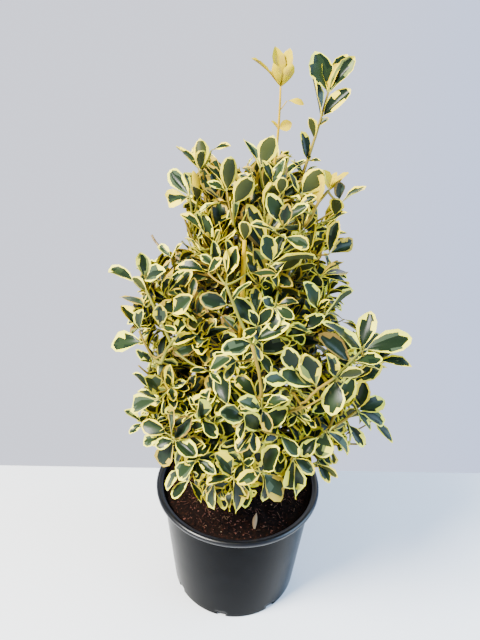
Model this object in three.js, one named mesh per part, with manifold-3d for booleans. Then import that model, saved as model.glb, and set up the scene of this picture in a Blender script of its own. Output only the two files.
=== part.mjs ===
// A variegated Japanese spindle in a round nursery pot: a bushy evergreen shrub, 0.8 m tall with the pot.
// One main stem runs up through the crown. Boughs leave it all round, and each ends where it enters
// a mass of foliage: a stem with twigs and opposite leaves that keeps to its own space.
// Millimetres, +Z up, the middle of the pot's flat underside at the origin, the shrub's front towards -Y.
import * as THREE from 'three';
import { mergeVertices } from 'three/addons/utils/BufferGeometryUtils.js';
import Module from 'manifold-3d';

const wasm = await Module();
wasm.setup();

// Driving dimensions of the pot and its soil
const RIM_RADIUS = 130;
const POT_HEIGHT = 192;
const BASE_RADIUS = 103.5;
const WALL_TOP_RADIUS = 120;
const WALL = 2;
const FLOOR = 2.5;
const RIM_DEPTH = 8;
const POT_SIDES = 32;
const NOTCH = { count: 8, width: 13, height: 9, depth: 9, firstAzimuth: -100 };
const SOIL_TOP = 181;
const LEAF_OVER_RIM = 1.5;
const LEAF_IN_RIM = 4;

// The gap left between solids that meet
const CLEAR = 0.3;
const MERGED_WITHIN = 0.02;

// Driving dimensions of the stem, boughs and twigs
const STEM_TOP = 650;
const STEM_LEAN = 28;
const STEM_FOOT_RADIUS = 10.5;
const STEM_TIP_RADIUS = 3;
const STEM_SIDES = 10;
const STEM_RINGS = [0, 4, 10, 20, 40, 80, 130, 180, 230, 280, 330, 380, 425, STEM_TOP - SOIL_TOP];
const STEM_SUNK = 3;
const FLARE = 6;
const FLARE_HEIGHT = 9;
const BOUGH_FOOT_RADIUS = 4.2;
const BOUGH_TIP_RADIUS = 2.8;
const BOUGH_SIDES = 5;
const BOUGH_STEPS = 3;
const TWIG_RADIUS = 2.2;
const TWIG_SIDES = 3;
const STEM_SHARES = [1.4, 1.2, 1, 0.8];
const TWIG_SHARES = [0.8, 0.7];
const TWIG_STAGGER = 0.06;
const TWIG_LIFT = 0.12;
const TWIG_TRIES = [1, 0.8, 0.62];
const LEADER_KNEE = [4, 0, 50];
const LEADER_TIP = [3, -4, 100];

// Driving dimensions of the leaves and of the dense core inside a bushy mass
const LEAF_LENGTH = 61;
const LEAF_WIDTH = 0.6;
const LEAF_ROOT = 0.16;
const LEAF_TO_SKY = 0.45;
const LEAF_TO_OUTSIDE = 0.35;
const LEAF_TRIES = [1, 0.86, 0.74, 0.62];
const LEAF_LIMIT = 19;
const LENGTH_VARIES = 0.1;
const CORE_PLACE = 0.45;
const CORE_LIMIT = 34;
const CORE_TRIES = [0.6, 0.52, 0.44, 0.36];
const CORE_SINK = 4.5;
const CORE_SPREAD = 44;
const CORE_TURNS = [0, 100, 200, 300];
const CROWN_FOOT = 219;
const CROWN_TOP = 712;
const SPACE_MARGIN = 0.6;
const LIMB_MARGIN = 0.8;

// The crown's outline to the leaf tips: [height, reach to the left, reach to the right] off the pot's axis
const OUTLINE = [
  [205, 94, 104],
  [235, 120, 130],
  [275, 152, 156],
  [330, 160, 182],
  [440, 176, 184],
  [490, 172, 156],
  [540, 156, 140],
  [590, 130, 130],
  [645, 110, 132],
  [690, 96, 108],
  [712, 66, 72],
];
const FRONT_SHARE = 0.95;

// Sprays that stand out past that outline, by azimuth and height, each with how far and how wide they reach
const STANDING_OUT = [
  { azimuth: -16, height: 462, extra: 44, turn: 24, rise: 46 },
  { azimuth: -10, height: 312, extra: 40, turn: 22, rise: 40 },
  { azimuth: 178, height: 534, extra: 26, turn: 14, rise: 14 },
];

// Tiers of masses from the bottom up. lift says how much of its climb a limb makes in its first part.
const TIERS = [
  { name: 'skirt', count: 5, turn: -90, height: 286, root: 202, rootStep: 7, lift: 0.85 },
  { name: 'lower', count: 5, turn: -54, height: 358, root: 232, rootStep: 9, lift: 0.4 },
  { name: 'middle', count: 5, turn: -90, height: 432, root: 280, rootStep: 11, lift: 0.28 },
  { name: 'upper', count: 6, turn: -90, height: 525, root: 362, rootStep: 11, lift: 0.24 },
  { name: 'crown', count: 4, turn: -72, height: 615, root: 455, rootStep: 14, lift: 0.2 },
];
const CUT_TWIG = {
  mass: 'foliage_crown_4',
  at: 0.35,
  knee: [-112, -6, 558],
  end: [-124, 0, 588],
  shares: [0.8, 0.7, 0.7, 0.65],
};
const TIP_INSET = 27;
const KNEE = 0.6;
const ENTRY = 0.42;

// The topmost limbs, by azimuth, tip height and distance of the tip from the pot's axis
const TOPS = [
  { name: 'top_left', azimuth: 184, height: 664, out: 64, root: 528, lift: 0.3, habit: 'bush' },
  { name: 'top_back', azimuth: 96, height: 668, out: 56, root: 546, lift: 0.3, habit: 'bush' },
  { name: 'right_leader', azimuth: -4, height: 752, out: 80, root: 566, lift: 0.25, habit: 'greenLeader' },
];

// How each kind of mass branches. Whorls are leaves at one height: at (0 to 1 along the stem), count,
// length as a share of LEAF_LENGTH, spread in degrees off the stem, turn in degrees about it.
const HABITS = {
  bush: {
    twigs: [
      { at: 0.1, sides: [0, 180], length: 0.62, spread: 58 },
      { at: 0.34, sides: [80, 260], length: 0.52, spread: 56 },
    ],
    whorls: [
      { at: 0.985, count: 2, length: 0.95, spread: 36, turn: 0 },
      { at: 0.86, count: 2, length: 1, spread: 56, turn: 90 },
    ],
    twigWhorls: [
      { at: 0.97, count: 2, length: 1, spread: 40, turn: 0 },
      { at: 0.76, count: 2, length: 1, spread: 60, turn: 90 },
    ],
    core: true,
  },
  greenLeader: {
    twigs: [],
    whorls: [
      { at: 0.12, count: 2, length: 0.8, spread: 42, turn: 40 },
      { at: 0.36, count: 2, length: 0.66, spread: 32, turn: 0 },
      { at: 0.56, count: 2, length: 0.52, spread: 34, turn: 60 },
      { at: 0.74, count: 2, length: 0.72, spread: 26, turn: 175 },
      { at: 0.99, count: 4, length: 0.78, spread: 28, turn: 8 },
    ],
    twigWhorls: [],
  },
  yellowLeader: {
    twigs: [],
    whorls: [
      { at: 0.08, count: 2, length: 0.9, spread: 34, turn: 20 },
      { at: 0.2, count: 2, length: 0.84, spread: 30, turn: 100 },
      { at: 0.5, count: 2, length: 0.42, spread: 50, turn: 20 },
      { at: 0.74, count: 1, length: 0.6, spread: 56, turn: 180 },
      { at: 0.97, count: 1, length: 0.62, spread: 62, turn: 0 },
      { at: 0.99, count: 5, length: 0.72, spread: 14, turn: 50 },
    ],
    twigWhorls: [],
  },
};

const radians = THREE.MathUtils.degToRad;
const vec = (x, y, z) => new THREE.Vector3(x, y, z);
const UP = vec(0, 0, 1);

// A repeatable number from 0 to 1 for three whole numbers
function seeded(a, b, c) {
  const wave = Math.sin(a * 12.9898 + b * 78.233 + c * 37.719) * 43758.5453;
  return wave - Math.floor(wave);
}

function jitter(amount, a, b, c) {
  return amount * (2 * seeded(a, b, c) - 1);
}

// Closed geometries and solids
function solidOf(geometry) {
  const bare = geometry.clone();
  for (const name of ['normal', 'uv']) bare.deleteAttribute(name);
  const merged = mergeVertices(bare, 1e-4);
  const faces = chunk(Array.from(merged.index.array));
  const triangles = faces.filter(([a, b, c]) => a !== b && b !== c && c !== a);
  const vertProperties = new Float32Array(merged.attributes.position.array);
  const triVerts = new Uint32Array(triangles.flat());
  return new wasm.Manifold(new wasm.Mesh({ numProp: 3, vertProperties, triVerts }));
}

// The largest closed body of a solid, without loose scraps and without the hollows that fusing sealed
function mainBody(solid) {
  return solid.decompose().reduce((best, piece) => (piece.volume() > best.volume() ? piece : best));
}

function geometryOf(solid) {
  const { vertProperties, triVerts } = solid.getMesh();
  const geometry = new THREE.BufferGeometry();
  geometry.setAttribute('position', new THREE.BufferAttribute(new Float32Array(vertProperties), 3));
  geometry.setIndex(new THREE.BufferAttribute(new Uint32Array(triVerts), 1));
  geometry.computeVertexNormals();
  return geometry;
}

function meshGeometry(points, triangles) {
  const geometry = new THREE.BufferGeometry();
  const places = points.flatMap((point) => point.toArray());
  geometry.setAttribute('position', new THREE.Float32BufferAttribute(places, 3));
  geometry.setIndex(triangles.flat());
  return geometry;
}

// A limb: rings of points carried along a line of points, with a flat cap at each end
function limbGeometry(points, radii, sides) {
  const rings = [];
  let across = null;
  points.forEach((point, i) => {
    const before = points[Math.max(i - 1, 0)];
    const after = points[Math.min(i + 1, points.length - 1)];
    const along = after.clone().sub(before).normalize();
    if (!across) across = sideOf(along);
    across = across.clone().addScaledVector(along, -across.dot(along)).normalize();
    const third = along.clone().cross(across);
    for (let k = 0; k < sides; k += 1) {
      const angle = (2 * Math.PI * k) / sides;
      const place = point.clone().addScaledVector(across, radii[i] * Math.cos(angle));
      rings.push(place.addScaledVector(third, radii[i] * Math.sin(angle)));
    }
  });
  const triangles = [];
  for (let i = 0; i < points.length - 1; i += 1) {
    for (let k = 0; k < sides; k += 1) {
      const a = i * sides + k;
      const b = i * sides + ((k + 1) % sides);
      triangles.push([a, b, b + sides], [a, b + sides, a + sides]);
    }
  }
  const last = (points.length - 1) * sides;
  for (let k = 1; k < sides - 1; k += 1) {
    triangles.push([0, k + 1, k], [last, last + k, last + k + 1]);
  }
  return meshGeometry(rings, triangles);
}

// A level direction square to the given one
function sideOf(along) {
  const level = UP.clone().cross(along);
  if (level.length() < 0.2) level.copy(vec(0, 1, 0).cross(along));
  return level.normalize();
}

// The direction square to a twig at a turn about it, from level
function sideAt(along, turn) {
  const level = sideOf(along);
  const third = along.clone().cross(level);
  return level.multiplyScalar(Math.cos(turn)).addScaledVector(third, Math.sin(turn));
}

// The pot: one closed profile turned about the axis, with drainage notches cut at its foot
function potGeometry() {
  const rimFoot = POT_HEIGHT - RIM_DEPTH;
  const profile = [
    [0, 0],
    [BASE_RADIUS - 2, 0],
    [BASE_RADIUS, 2],
    [WALL_TOP_RADIUS, rimFoot - 1],
    [WALL_TOP_RADIUS + 5, rimFoot],
    [RIM_RADIUS - 1.4, rimFoot + 0.8],
    [RIM_RADIUS, rimFoot + 3.4],
    [RIM_RADIUS - 1.2, POT_HEIGHT - 1.4],
    [RIM_RADIUS - 4, POT_HEIGHT],
    [WALL_TOP_RADIUS + 1.5, POT_HEIGHT - 0.4],
    [WALL_TOP_RADIUS - WALL + 0.6, POT_HEIGHT - 2.2],
    [WALL_TOP_RADIUS - WALL, rimFoot - 1],
    [BASE_RADIUS - WALL, FLOOR],
    [0, FLOOR],
  ];
  const lathe = new THREE.LatheGeometry(profile.map(([r, z]) => new THREE.Vector2(r, z)), POT_SIDES);
  lathe.rotateX(Math.PI / 2);
  let solid = solidOf(lathe);
  for (let i = 0; i < NOTCH.count; i += 1) {
    const azimuth = radians(NOTCH.firstAzimuth + (360 / NOTCH.count) * i);
    const cutter = new THREE.BoxGeometry(2 * NOTCH.depth, NOTCH.width, 2 * NOTCH.height);
    cutter.translate(BASE_RADIUS, 0, 0);
    cutter.rotateZ(azimuth);
    solid = solid.subtract(solidOf(cutter));
  }
  return geometryOf(mainBody(solid));
}

function innerRadius(height) {
  const share = (height - FLOOR) / (POT_HEIGHT - RIM_DEPTH - 1 - FLOOR);
  return BASE_RADIUS - WALL + (WALL_TOP_RADIUS - BASE_RADIUS) * Math.min(share, 1);
}

function soilGeometry() {
  const low = FLOOR + CLEAR;
  const facetGap = 1 / Math.cos(Math.PI / POT_SIDES);
  const profile = [
    [0, low],
    [innerRadius(low) - CLEAR * facetGap - 0.2, low],
    [innerRadius(SOIL_TOP) - CLEAR * facetGap - 0.2, SOIL_TOP],
    [0, SOIL_TOP],
  ];
  const lathe = new THREE.LatheGeometry(profile.map(([r, z]) => new THREE.Vector2(r, z)), POT_SIDES);
  lathe.rotateX(Math.PI / 2);
  return geometryOf(solidOf(lathe));
}

// The main stem leans to the right as it climbs and tapers from a flared foot
function stemPoint(height) {
  const share = (height - SOIL_TOP) / (STEM_TOP - SOIL_TOP);
  return vec(-4 + STEM_LEAN * share ** 1.4, 4 + 5 * Math.sin(Math.PI * share), height);
}

function stemRadius(height) {
  const share = (height - SOIL_TOP) / (STEM_TOP - SOIL_TOP);
  const flare = FLARE * Math.exp(-(height - SOIL_TOP) / FLARE_HEIGHT);
  return STEM_TIP_RADIUS + (STEM_FOOT_RADIUS - STEM_TIP_RADIUS) * (1 - share) ** 1.1 + flare;
}

// The stem's rings stand on rising heights, and its foot is cut flat at ground level
function stemSolid(extra) {
  const heights = STEM_RINGS.map((ring) => SOIL_TOP + ring);
  const points = heights.map(stemPoint);
  points[0].z -= STEM_SUNK;
  const solid = solidOf(limbGeometry(points, heights.map((h) => stemRadius(h) + extra), STEM_SIDES));
  return solid.trimByPlane([0, 0, 1], SOIL_TOP + CLEAR);
}

// The crown's reach at a height and azimuth, read between the outline's rows
function outlineAt(height, column) {
  const rows = OUTLINE;
  if (height <= rows[0][0]) return rows[0][column];
  for (let i = 1; i < rows.length; i += 1) {
    if (height <= rows[i][0]) {
      const share = (height - rows[i - 1][0]) / (rows[i][0] - rows[i - 1][0]);
      return THREE.MathUtils.lerp(rows[i - 1][column], rows[i][column], share);
    }
  }
  return rows[rows.length - 1][column];
}

function reach(height, azimuth) {
  const towardsRight = (1 + Math.cos(azimuth)) / 2;
  const plain = THREE.MathUtils.lerp(outlineAt(height, 1), outlineAt(height, 2), towardsRight);
  const front = 1 - (1 - FRONT_SHARE) * Math.sin(azimuth) ** 2;
  const beyond = STANDING_OUT.map((spray) => {
    const turned = azimuth - radians(spray.azimuth);
    const offAzimuth = Math.atan2(Math.sin(turned), Math.cos(turned)) / radians(spray.turn);
    const offHeight = (height - spray.height) / spray.rise;
    return spray.extra * Math.exp(-(offAzimuth ** 2) - offHeight ** 2);
  });
  return plain * front + beyond.reduce((sum, value) => sum + value, 0);
}

// Every limb is one curve from the stem's axis to the tip of its mass
function limbCurve(root, tip, lift) {
  const foot = stemPoint(root);
  const knee = foot.clone().lerp(tip, KNEE);
  knee.z = foot.z + (tip.z - foot.z) * lift;
  return new THREE.QuadraticBezierCurve3(foot, knee, tip);
}

function makeLimbs() {
  const limbs = [];
  TIERS.forEach((tier, t) => {
    for (let i = 0; i < tier.count; i += 1) {
      const azimuth = radians(tier.turn + (360 / tier.count) * i + jitter(7, t, i, 1));
      const height = tier.height + jitter(12, t, i, 2);
      const out = reach(height + 20, azimuth) - TIP_INSET;
      const tip = vec(out * Math.cos(azimuth), out * Math.sin(azimuth), height);
      const root = tier.root + tier.rootStep * ((i * 2) % tier.count);
      const curve = limbCurve(root, tip, tier.lift);
      limbs.push({ name: `${tier.name}_${i + 1}`, curve, habit: HABITS.bush });
    }
  });
  TOPS.forEach((top) => {
    const azimuth = radians(top.azimuth);
    const tip = vec(top.out * Math.cos(azimuth), top.out * Math.sin(azimuth), top.height);
    const curve = limbCurve(top.root, tip, top.lift);
    limbs.push({ name: top.name, curve, habit: HABITS[top.habit] });
  });
  return limbs;
}

// The part of a limb before its mass, whose foot fits the stem with a small gap
function boughSolid(limb, extra) {
  const points = [];
  const radii = [];
  for (let i = 0; i <= BOUGH_STEPS; i += 1) {
    const share = i / BOUGH_STEPS;
    points.push(limb.curve.getPoint(ENTRY * share));
    radii.push(THREE.MathUtils.lerp(BOUGH_FOOT_RADIUS, BOUGH_TIP_RADIUS, share) + extra);
  }
  return solidOf(limbGeometry(points, radii, BOUGH_SIDES));
}

// A twig: a tapering three-sided limb along a curve
function twigSolid(curve, shares) {
  const radii = shares.map((share) => share * TWIG_RADIUS);
  return solidOf(limbGeometry(curve.getPoints(shares.length - 1), radii, TWIG_SIDES));
}

// One leaf as a closed solid: a shallow keel below, six faces above, its base sunk in the twig
const LEAF_TRIANGLES = [
  [0, 1, 4], [1, 2, 4], [4, 2, 5], [2, 3, 5],
  [6, 1, 0], [6, 2, 1], [6, 3, 2], [6, 5, 3], [6, 4, 5], [6, 0, 4],
];

function leafPoints(base, { direction, face }, length) {
  const across = face.clone().cross(direction);
  const half = (LEAF_WIDTH / 2) * length;
  const place = (x, y, z) => base.clone()
    .addScaledVector(direction, x * length)
    .addScaledVector(across, y * half)
    .addScaledVector(face, z * length);
  return [
    place(0, 0, 0),
    place(0.4, 1, 0.02),
    place(0.76, 0.78, -0.03),
    place(1, 0, -0.07),
    place(0.4, -1, 0.02),
    place(0.76, -0.78, -0.03),
    place(0.52, 0, 0.05),
  ];
}

function facetSolid(points, triangles) {
  return solidOf(meshGeometry(points, triangles));
}

// A leaf's direction and the way its upper side faces: towards the twig's tip, turned to the light
function leafFrame(along, side, spread, outward) {
  const direction = along.clone().multiplyScalar(Math.cos(spread)).addScaledVector(side, Math.sin(spread));
  const face = along.clone().multiplyScalar(Math.sin(spread)).addScaledVector(side, -Math.cos(spread));
  face.addScaledVector(UP, LEAF_TO_SKY).addScaledVector(outward, LEAF_TO_OUTSIDE);
  face.addScaledVector(direction, -face.dot(direction)).normalize();
  return { direction, face };
}

// The spaces: every pair of masses is parted by the plane midway between their stems
function nearestPoints(a, b) {
  let best = { gap: Infinity };
  const steps = 24;
  for (let i = 0; i <= steps; i += 1) {
    const p = a.start.clone().lerp(a.end, i / steps);
    const line = b.end.clone().sub(b.start);
    const share = THREE.MathUtils.clamp(p.clone().sub(b.start).dot(line) / line.lengthSq(), 0, 1);
    const q = b.start.clone().addScaledVector(line, share);
    const gap = p.distanceTo(q);
    if (gap < best.gap) best = { gap, p, q };
  }
  return best;
}

function makeSpaces(masses) {
  masses.forEach((mass) => {
    mass.walls = masses.filter((other) => other !== mass).map((other) => {
      const { p, q } = nearestPoints(mass, other);
      return { middle: p.clone().add(q).multiplyScalar(0.5), normal: q.clone().sub(p).normalize() };
    });
  });
}

function insideSpace(points, mass, margin) {
  return points.every((point) => mass.walls.every(
    (wall) => point.clone().sub(wall.middle).dot(wall.normal) < -margin,
  ));
}

function clearOfPot(points) {
  const mouth = innerRadius(SOIL_TOP) - LEAF_IN_RIM;
  const overRim = points.every((point) => point.z > POT_HEIGHT + LEAF_OVER_RIM);
  const overSoil = points.every((point) => point.z > SOIL_TOP + LEAF_IN_RIM);
  const inMouth = points.every((point) => Math.hypot(point.x, point.y) < mouth);
  return overRim || (overSoil && inMouth);
}

function withinReach(points, mass) {
  if (mass.free) return true;
  const tip = points[3];
  const out = Math.hypot(tip.x, tip.y);
  const inside = out < reach(tip.z, Math.atan2(tip.y, tip.x)) && tip.z < CROWN_TOP;
  return inside && points.every((point) => point.z > CROWN_FOOT);
}

// The dense inside of a bushy mass: a small core about its stem that twigs and leaves stand out of
function coreSolid(mass, keepClear) {
  const centre = mass.curve.getPoint(CORE_PLACE);
  const ball = new THREE.IcosahedronGeometry(1, 0);
  for (const name of ['normal', 'uv']) ball.deleteAttribute(name);
  const shape = mergeVertices(ball, 1e-4);
  const spokes = shape.attributes.position;
  for (const share of CORE_TRIES) {
    const points = [];
    for (let i = 0; i < spokes.count; i += 1) {
      const spoke = vec(spokes.getX(i), spokes.getY(i), spokes.getZ(i));
      const room = Math.min(...mass.walls.map((wall) => roomTo(wall, centre, spoke)), CORE_LIMIT / share);
      points.push(centre.clone().addScaledVector(spoke, share * room));
    }
    if (!clearOfPot(points)) continue;
    const faces = chunk(Array.from(shape.index.array));
    const solid = facetSolid(points, faces);
    const corners = faces.map((face) => face.map((i) => points[i]));
    if (solid.intersect(keepClear).isEmpty()) return { solid, corners };
  }
  return null;
}

// One place for a leaf in the middle of every face of the core, its root sunk below the face
function coreSeats(core) {
  return core.corners.map(([a, b, c]) => {
    const normal = b.clone().sub(a).cross(c.clone().sub(a)).normalize();
    const middle = a.clone().add(b).add(c).divideScalar(3);
    return { at: middle.addScaledVector(normal, -CORE_SINK), along: normal };
  });
}

function roomTo(wall, from, spoke) {
  const towards = spoke.dot(wall.normal);
  const away = wall.middle.clone().sub(from).dot(wall.normal);
  return towards > 1e-3 ? away / towards : Infinity;
}

function chunk(index) {
  const triangles = [];
  for (let i = 0; i < index.length; i += 3) triangles.push(index.slice(i, i + 3));
  return triangles;
}

// The twigs of a mass: the stem and the side twigs that stay in its space and clear of the limbs
function growTwigs(mass, order, keepClear) {
  const stem = { curve: mass.curve, whorls: mass.habit.whorls, solid: twigSolid(mass.curve, STEM_SHARES) };
  const twigs = [stem];
  const room = SPACE_MARGIN + TWIG_RADIUS;
  mass.habit.twigs.forEach((rule, r) => {
    rule.sides.forEach((side, s) => {
      const at = mass.curve.getPoint(rule.at + TWIG_STAGGER * s);
      const along = mass.curve.getTangent(rule.at + TWIG_STAGGER * s);
      const out = sideAt(along, radians(side + jitter(6, order, r, s + 21)));
      const spread = radians(rule.spread + jitter(7, order, r, s + 31));
      const direction = along.multiplyScalar(Math.cos(spread)).addScaledVector(out, Math.sin(spread));
      direction.multiplyScalar(1 - TWIG_LIFT / 2).addScaledVector(UP, TWIG_LIFT);
      for (const share of TWIG_TRIES) {
        const length = mass.length * rule.length * share * (1 + jitter(LENGTH_VARIES, order, r, s + 41));
        const curve = new THREE.LineCurve3(at, at.clone().addScaledVector(direction, length));
        const line = curve.getPoints(2);
        if (!insideSpace(line, mass, room) || !clearOfPot(line)) continue;
        const solid = twigSolid(curve, TWIG_SHARES);
        if (!solid.intersect(keepClear).isEmpty()) continue;
        twigs.push({ curve, whorls: mass.habit.twigWhorls, solid });
        break;
      }
    });
  });
  return twigs;
}

// A bare twig, cut off square above the leaves
function cutTwigSolid(mass) {
  const curve = new THREE.QuadraticBezierCurve3(
    mass.curve.getPoint(CUT_TWIG.at),
    vec(...CUT_TWIG.knee),
    vec(...CUT_TWIG.end),
  );
  return twigSolid(curve, CUT_TWIG.shares);
}

// A leaf where it first finds room, at full length or shorter: inside the space, over the pot, and clear
// of the limbs and of the twigs, core and leaves already grown. The leaves of a free leader may cross.
function leafWithRoom(mass, at, frame, full, keepClear, taken) {
  for (const share of LEAF_TRIES) {
    const points = leafPoints(at, frame, full * share);
    const fits = insideSpace(points, mass, SPACE_MARGIN) && clearOfPot(points) && withinReach(points, mass);
    if (!fits) continue;
    const beyondRoot = [points[0].clone().lerp(points[3], LEAF_ROOT), ...points.slice(1)];
    const blade = facetSolid(beyondRoot, LEAF_TRIANGLES);
    const crosses = !mass.free && !blade.intersect(taken).isEmpty();
    if (crosses || !blade.intersect(keepClear).isEmpty()) continue;
    return { blade, solid: facetSolid(points, LEAF_TRIANGLES) };
  }
  return null;
}

// The seats of a mass's leaves, each with the frames it may take: pairs up its twigs, then one on each
// face of its core from the outside in
function leafSeats(mass, order, twigs, core) {
  const seats = [];
  twigs.forEach((twig, number) => {
    twig.whorls.forEach((whorl, w) => {
      const at = twig.curve.getPoint(whorl.at);
      const along = twig.curve.getTangent(whorl.at);
      for (let k = 0; k < whorl.count; k += 1) {
        const seed = number * 10 + w;
        const turn = radians(whorl.turn + (360 / whorl.count) * k + jitter(9, order, seed, k));
        const spread = radians(whorl.spread + jitter(9, order, seed, k + 7));
        const full = LEAF_LENGTH * whorl.length * (1 + jitter(LENGTH_VARIES, order, seed, k + 13));
        seats.push({ at, full, frames: [leafFrame(along, sideAt(along, turn), spread, outwardAt(at))] });
      }
    });
  });
  const inCore = core ? coreSeats(core) : [];
  inCore.sort((a, b) => b.along.dot(outwardAt(b.at)) - a.along.dot(outwardAt(a.at)));
  inCore.forEach(({ at, along }, k) => {
    const spread = radians(CORE_SPREAD + jitter(8, order, k, 6));
    const full = LEAF_LENGTH * (1 + jitter(LENGTH_VARIES, order, k, 8));
    const sides = CORE_TURNS.map((turn) => sideAt(along, radians(turn + 90 * seeded(order, k, 5))));
    seats.push({ at, full, frames: sides.map((side) => leafFrame(along, side, spread, outwardAt(at))) });
  });
  return seats;
}

// One mass of foliage: stem, twigs, core and leaves by the seeded rule, fused to one solid
function growMass(mass, order, keepClear) {
  const twigs = growTwigs(mass, order, keepClear);
  const core = mass.habit.core ? coreSolid(mass, keepClear) : null;
  const pieces = twigs.map((twig) => twig.solid);
  if (core) pieces.push(core.solid);
  if (mass.name === CUT_TWIG.mass) pieces.push(cutTwigSolid(mass));
  let taken = wasm.Manifold.union(pieces);
  let leaves = 0;
  for (const seat of leafSeats(mass, order, twigs, core)) {
    if (leaves >= LEAF_LIMIT) break;
    for (const frame of seat.frames) {
      const leaf = leafWithRoom(mass, seat.at, frame, seat.full, keepClear, taken);
      if (!leaf) continue;
      taken = taken.add(leaf.blade);
      pieces.push(leaf.solid);
      leaves += 1;
      break;
    }
  }
  return mainBody(wasm.Manifold.union(pieces)).simplify(MERGED_WITHIN);
}

function outwardAt(point) {
  return vec(point.x, point.y, 0).normalize();
}

// Each mass's stem starts a small gap past its bough's tip, and the leader's past the main stem's
function makeMasses(limbs) {
  const masses = limbs.map((limb) => {
    const gap = CLEAR / limb.curve.getTangent(ENTRY).length() / limb.curve.getLength();
    const from = ENTRY + gap;
    const part = new THREE.QuadraticBezierCurve3(
      limb.curve.getPoint(from),
      limb.curve.getPoint(from).addScaledVector(derivative(limb.curve, from), (1 - from) / 2),
      limb.curve.getPoint(1),
    );
    return { name: `foliage_${limb.name}`, curve: part, habit: limb.habit, free: !limb.habit.core };
  });
  const stemTip = stemPoint(STEM_TOP);
  const foot = stemTip.clone().add(vec(0, 0, CLEAR));
  const knee = foot.clone().add(vec(...LEADER_KNEE));
  const leader = new THREE.QuadraticBezierCurve3(foot, knee, foot.clone().add(vec(...LEADER_TIP)));
  masses.push({ name: 'foliage_yellow_leader', curve: leader, habit: HABITS.yellowLeader, free: true });
  masses.forEach((mass) => {
    mass.start = mass.curve.getPoint(0);
    mass.end = mass.curve.getPoint(1);
    mass.length = mass.curve.getLength();
  });
  return masses;
}

function derivative(curve, t) {
  const first = curve.v1.clone().sub(curve.v0).multiplyScalar(2 * (1 - t));
  return first.addScaledVector(curve.v2.clone().sub(curve.v1), 2 * t);
}

// The whole shrub and its pot
const finish = {
  pot: new THREE.MeshStandardMaterial({ color: 0x1c1d1f, roughness: 0.42, metalness: 0 }),
  soil: new THREE.MeshStandardMaterial({ color: 0x2b1a12, roughness: 0.95, metalness: 0 }),
  bark: new THREE.MeshStandardMaterial({ color: 0x7d6a3f, roughness: 0.8, metalness: 0 }),
  leaf: new THREE.MeshStandardMaterial({ color: 0x6f8a4a, roughness: 0.35, metalness: 0 }),
  yellowLeaf: new THREE.MeshStandardMaterial({ color: 0xe6c848, roughness: 0.4, metalness: 0 }),
};

const plant = new THREE.Group();

function add(name, geometry, material) {
  const mesh = new THREE.Mesh(geometry, material);
  mesh.name = name;
  plant.add(mesh);
}

add('pot', potGeometry(), finish.pot);
add('potting_soil', soilGeometry(), finish.soil);
add('main_stem', geometryOf(stemSolid(0)), finish.bark);

const limbs = makeLimbs();
const stemSleeve = stemSolid(CLEAR);
for (const limb of limbs) {
  const bough = mainBody(boughSolid(limb, 0).subtract(stemSleeve));
  add(`bough_${limb.name}`, geometryOf(bough), finish.bark);
}

const keepClear = wasm.Manifold.union([
  stemSolid(LIMB_MARGIN),
  ...limbs.map((limb) => boughSolid(limb, LIMB_MARGIN)),
]);
const masses = makeMasses(limbs);
makeSpaces(masses);
masses.forEach((mass, order) => {
  const body = growMass(mass, order, keepClear);
  const material = mass.name === 'foliage_yellow_leader' ? finish.yellowLeaf : finish.leaf;
  add(mass.name, geometryOf(body), material);
});

export default plant;
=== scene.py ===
# A variegated Japanese spindle growing in a black nursery pot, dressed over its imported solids.
# Metres, +Z up, the middle of the pot's underside at the origin, the photographed side towards -Y.
import math
from collections import namedtuple

import bpy
import numpy as np
from mathutils import Matrix, Vector


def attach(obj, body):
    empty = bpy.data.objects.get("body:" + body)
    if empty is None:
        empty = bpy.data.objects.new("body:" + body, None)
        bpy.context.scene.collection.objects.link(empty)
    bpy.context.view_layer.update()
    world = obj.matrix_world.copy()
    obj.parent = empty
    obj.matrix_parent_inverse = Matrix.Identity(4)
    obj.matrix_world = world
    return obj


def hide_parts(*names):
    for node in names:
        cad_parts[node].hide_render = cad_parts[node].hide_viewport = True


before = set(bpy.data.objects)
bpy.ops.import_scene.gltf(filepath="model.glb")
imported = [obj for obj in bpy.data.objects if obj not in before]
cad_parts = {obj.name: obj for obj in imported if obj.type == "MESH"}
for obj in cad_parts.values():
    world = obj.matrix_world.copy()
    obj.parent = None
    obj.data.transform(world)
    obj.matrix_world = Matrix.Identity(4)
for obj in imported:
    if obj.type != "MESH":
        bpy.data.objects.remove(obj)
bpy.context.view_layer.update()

# Camera, floor and light
# The camera stands close in front of the plant, a little below its top, looks down at the pot and is turned
# slightly on its axis. A white board carries the pot, and its far edge meets a pale grey-blue surround.
CAMERA_AT = (-0.0073, -0.5772, 0.7270)
CAMERA_DOWN = math.radians(24.11)
CAMERA_ROLL = math.radians(2.40)
SENSOR = 36
FOCAL_PIXELS = 461.2
FRAME_WIDTH = 480
FRAME_HEIGHT = 640
BOARD_SIDE = 0.95
BOARD_FRONT = -1.4
BOARD_BACK = 0.229
BOARD_SLANT = 0.036
BOARD_POINTS = 9
BOARD_WHITE = (0.86, 0.88, 0.92)

# The lamps: (name, where it stands, what it faces, its side, watts, tint)
LAMPS = (
    ("window", (-1.2, -0.8, 1.9), (0, 0, 0.4), 0.7, 218, (1.0, 0.97, 0.88)),
    ("far_side", (1.6, -0.3, 1.1), (0, 0, 0.3), 1.5, 80, (0.52, 0.74, 1.0)),
    ("behind", (0.3, 1.5, 1.5), (0, 0, 0.45), 1.4, 16, (0.95, 0.97, 1.0)),
)

# The surround is pale all round at eye height and dim overhead, so that the lamps do most of the lighting.
# It turns bluer to the right, as daylight from a far window does.
SURROUND_STEPS = ((0.28, (0.70, 0.72, 0.83)), (0.62, (0.09, 0.10, 0.13)))
BLUER = (0.62, 0.84, 1.30, 1)
BLUEST_AT = 0.9
SURROUND_STRENGTH = 1.75

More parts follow.
